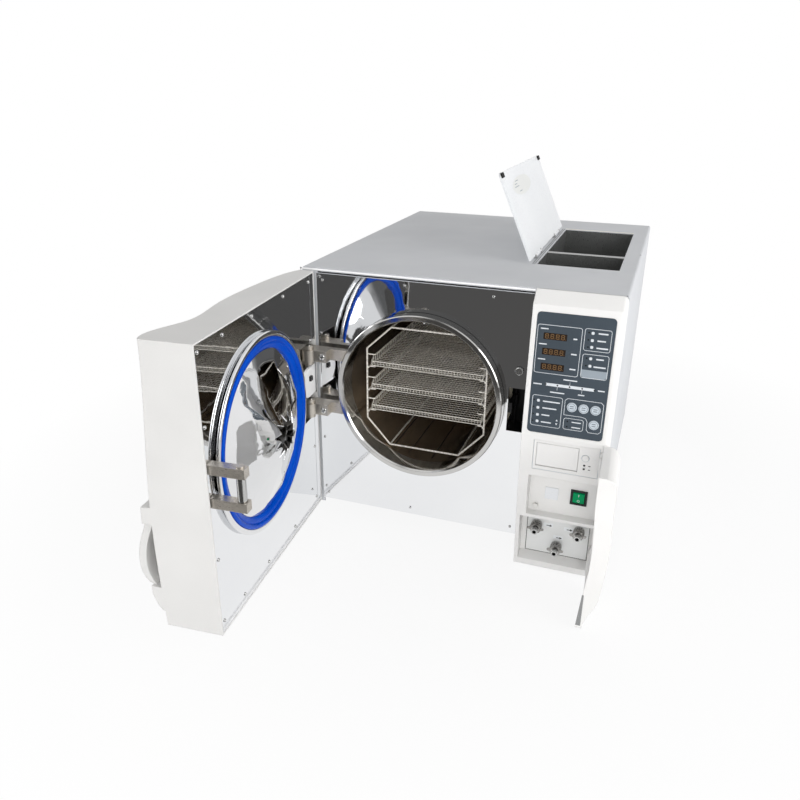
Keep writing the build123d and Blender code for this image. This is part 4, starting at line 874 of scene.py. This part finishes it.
# World: white to the eye; dimmer from above than from the sides; in reflections dark toward the room
side_light, top_light, room_tone = 1.05, 0.4, 0.14
world = bpy.data.worlds.new("studio")
bpy.context.scene.world = world
world.use_nodes = True
tree = world.node_tree
tree.nodes.clear()
paths = put(tree, "ShaderNodeLightPath")
sky = put(tree, "ShaderNodeTexCoord")
split = put(tree, "ShaderNodeSeparateXYZ", ins={0: sky.outputs["Generated"]})
level = put(tree, "ShaderNodeMapRange", ins={"Value": split.outputs["Z"], "From Min": 0.0, "From Max": 0.6,
                                             "To Min": side_light, "To Max": top_light})
wide = put(tree, "ShaderNodeMath", {"operation": "ABSOLUTE"}, {0: split.outputs["X"]})
ahead = put(tree, "ShaderNodeMath", {"operation": "MULTIPLY_ADD"},
            {0: wide.outputs[0], 1: 0.9, 2: split.outputs["Y"]})
room_side = put(tree, "ShaderNodeMapRange", ins={"Value": ahead.outputs[0], "From Min": -0.35, "From Max": 0.0,
                                                 "To Min": room_tone, "To Max": 1.0})
shiny = put(tree, "ShaderNodeMix", {"data_type": "FLOAT"},
            {0: paths.outputs["Is Glossy Ray"], 2: level.outputs[0], 3: room_side.outputs[0]})
direct = put(tree, "ShaderNodeMath", {"operation": "MAXIMUM"},
             {0: paths.outputs["Is Camera Ray"], 1: paths.outputs["Is Transmission Ray"]})
strength = put(tree, "ShaderNodeMix", {"data_type": "FLOAT"},
               {0: direct.outputs[0], 2: shiny.outputs[0], 3: 1.0})
light = put(tree, "ShaderNodeBackground", ins={"Color": linear("#FFFFFF"), "Strength": strength.outputs[0]})
put(tree, "ShaderNodeOutputWorld", ins={"Surface": light.outputs[0]})


def soft_box(name, place, target, size, energy, mirrored):
    """An area lamp in metres and watts, turned to its target; mirrored says whether steel shows it."""
    lamp = bpy.data.lights.new(name, "AREA")
    lamp.shape = "RECTANGLE"
    lamp.size, lamp.size_y = size
    lamp.energy = energy
    box = bpy.data.objects.new(name, lamp)
    box.location = place
    box.visible_glossy = mirrored
    box.rotation_euler = (Vector(target) - Vector(place)).to_track_quat("-Z", "Y").to_euler()
    bpy.context.collection.objects.link(box)


soft_box("right_soft_box", (2.2, -0.9, 1.15), (0.1, -0.1, 0.3), (1.8, 1.4), 27, True)
soft_box("front_soft_box", (0.5, -2.4, 0.7), (-0.05, -0.1, 0.25), (1.4, 1.0), 9, False)
soft_box("chamber_fill", (0.45, -1.9, 0.8), (-0.05, -0.1, 0.27), (0.6, 0.5), 4, False)

# Camera at the photograph's place, in metres, fitted to the corners of the cabinet, the mouth and the door
eye = Vector((0.2833, -1.3195, 0.7211))
sight = Vector((-0.30738, 0.86618, -0.39402)).normalized()
level_side = Vector((0.94242, 0.33443, 0.0)).normalized()
level_up = level_side.cross(sight)
roll = 0.0087
side = level_side * math.cos(roll) + level_up * math.sin(roll)
up = level_up * math.cos(roll) - level_side * math.sin(roll)
lens = bpy.data.cameras.new("camera")
lens.sensor_width, lens.lens = 36.0, 33.886
lens.shift_x, lens.shift_y = 0.0016, 0.0029
camera = bpy.data.objects.new("camera", lens)
camera.matrix_world = Matrix(((side.x, up.x, -sight.x, eye.x), (side.y, up.y, -sight.y, eye.y),
                              (side.z, up.z, -sight.z, eye.z), (0, 0, 0, 1)))
bpy.context.collection.objects.link(camera)
bpy.context.scene.camera = camera
bpy.context.scene.view_settings.view_transform = "Standard"
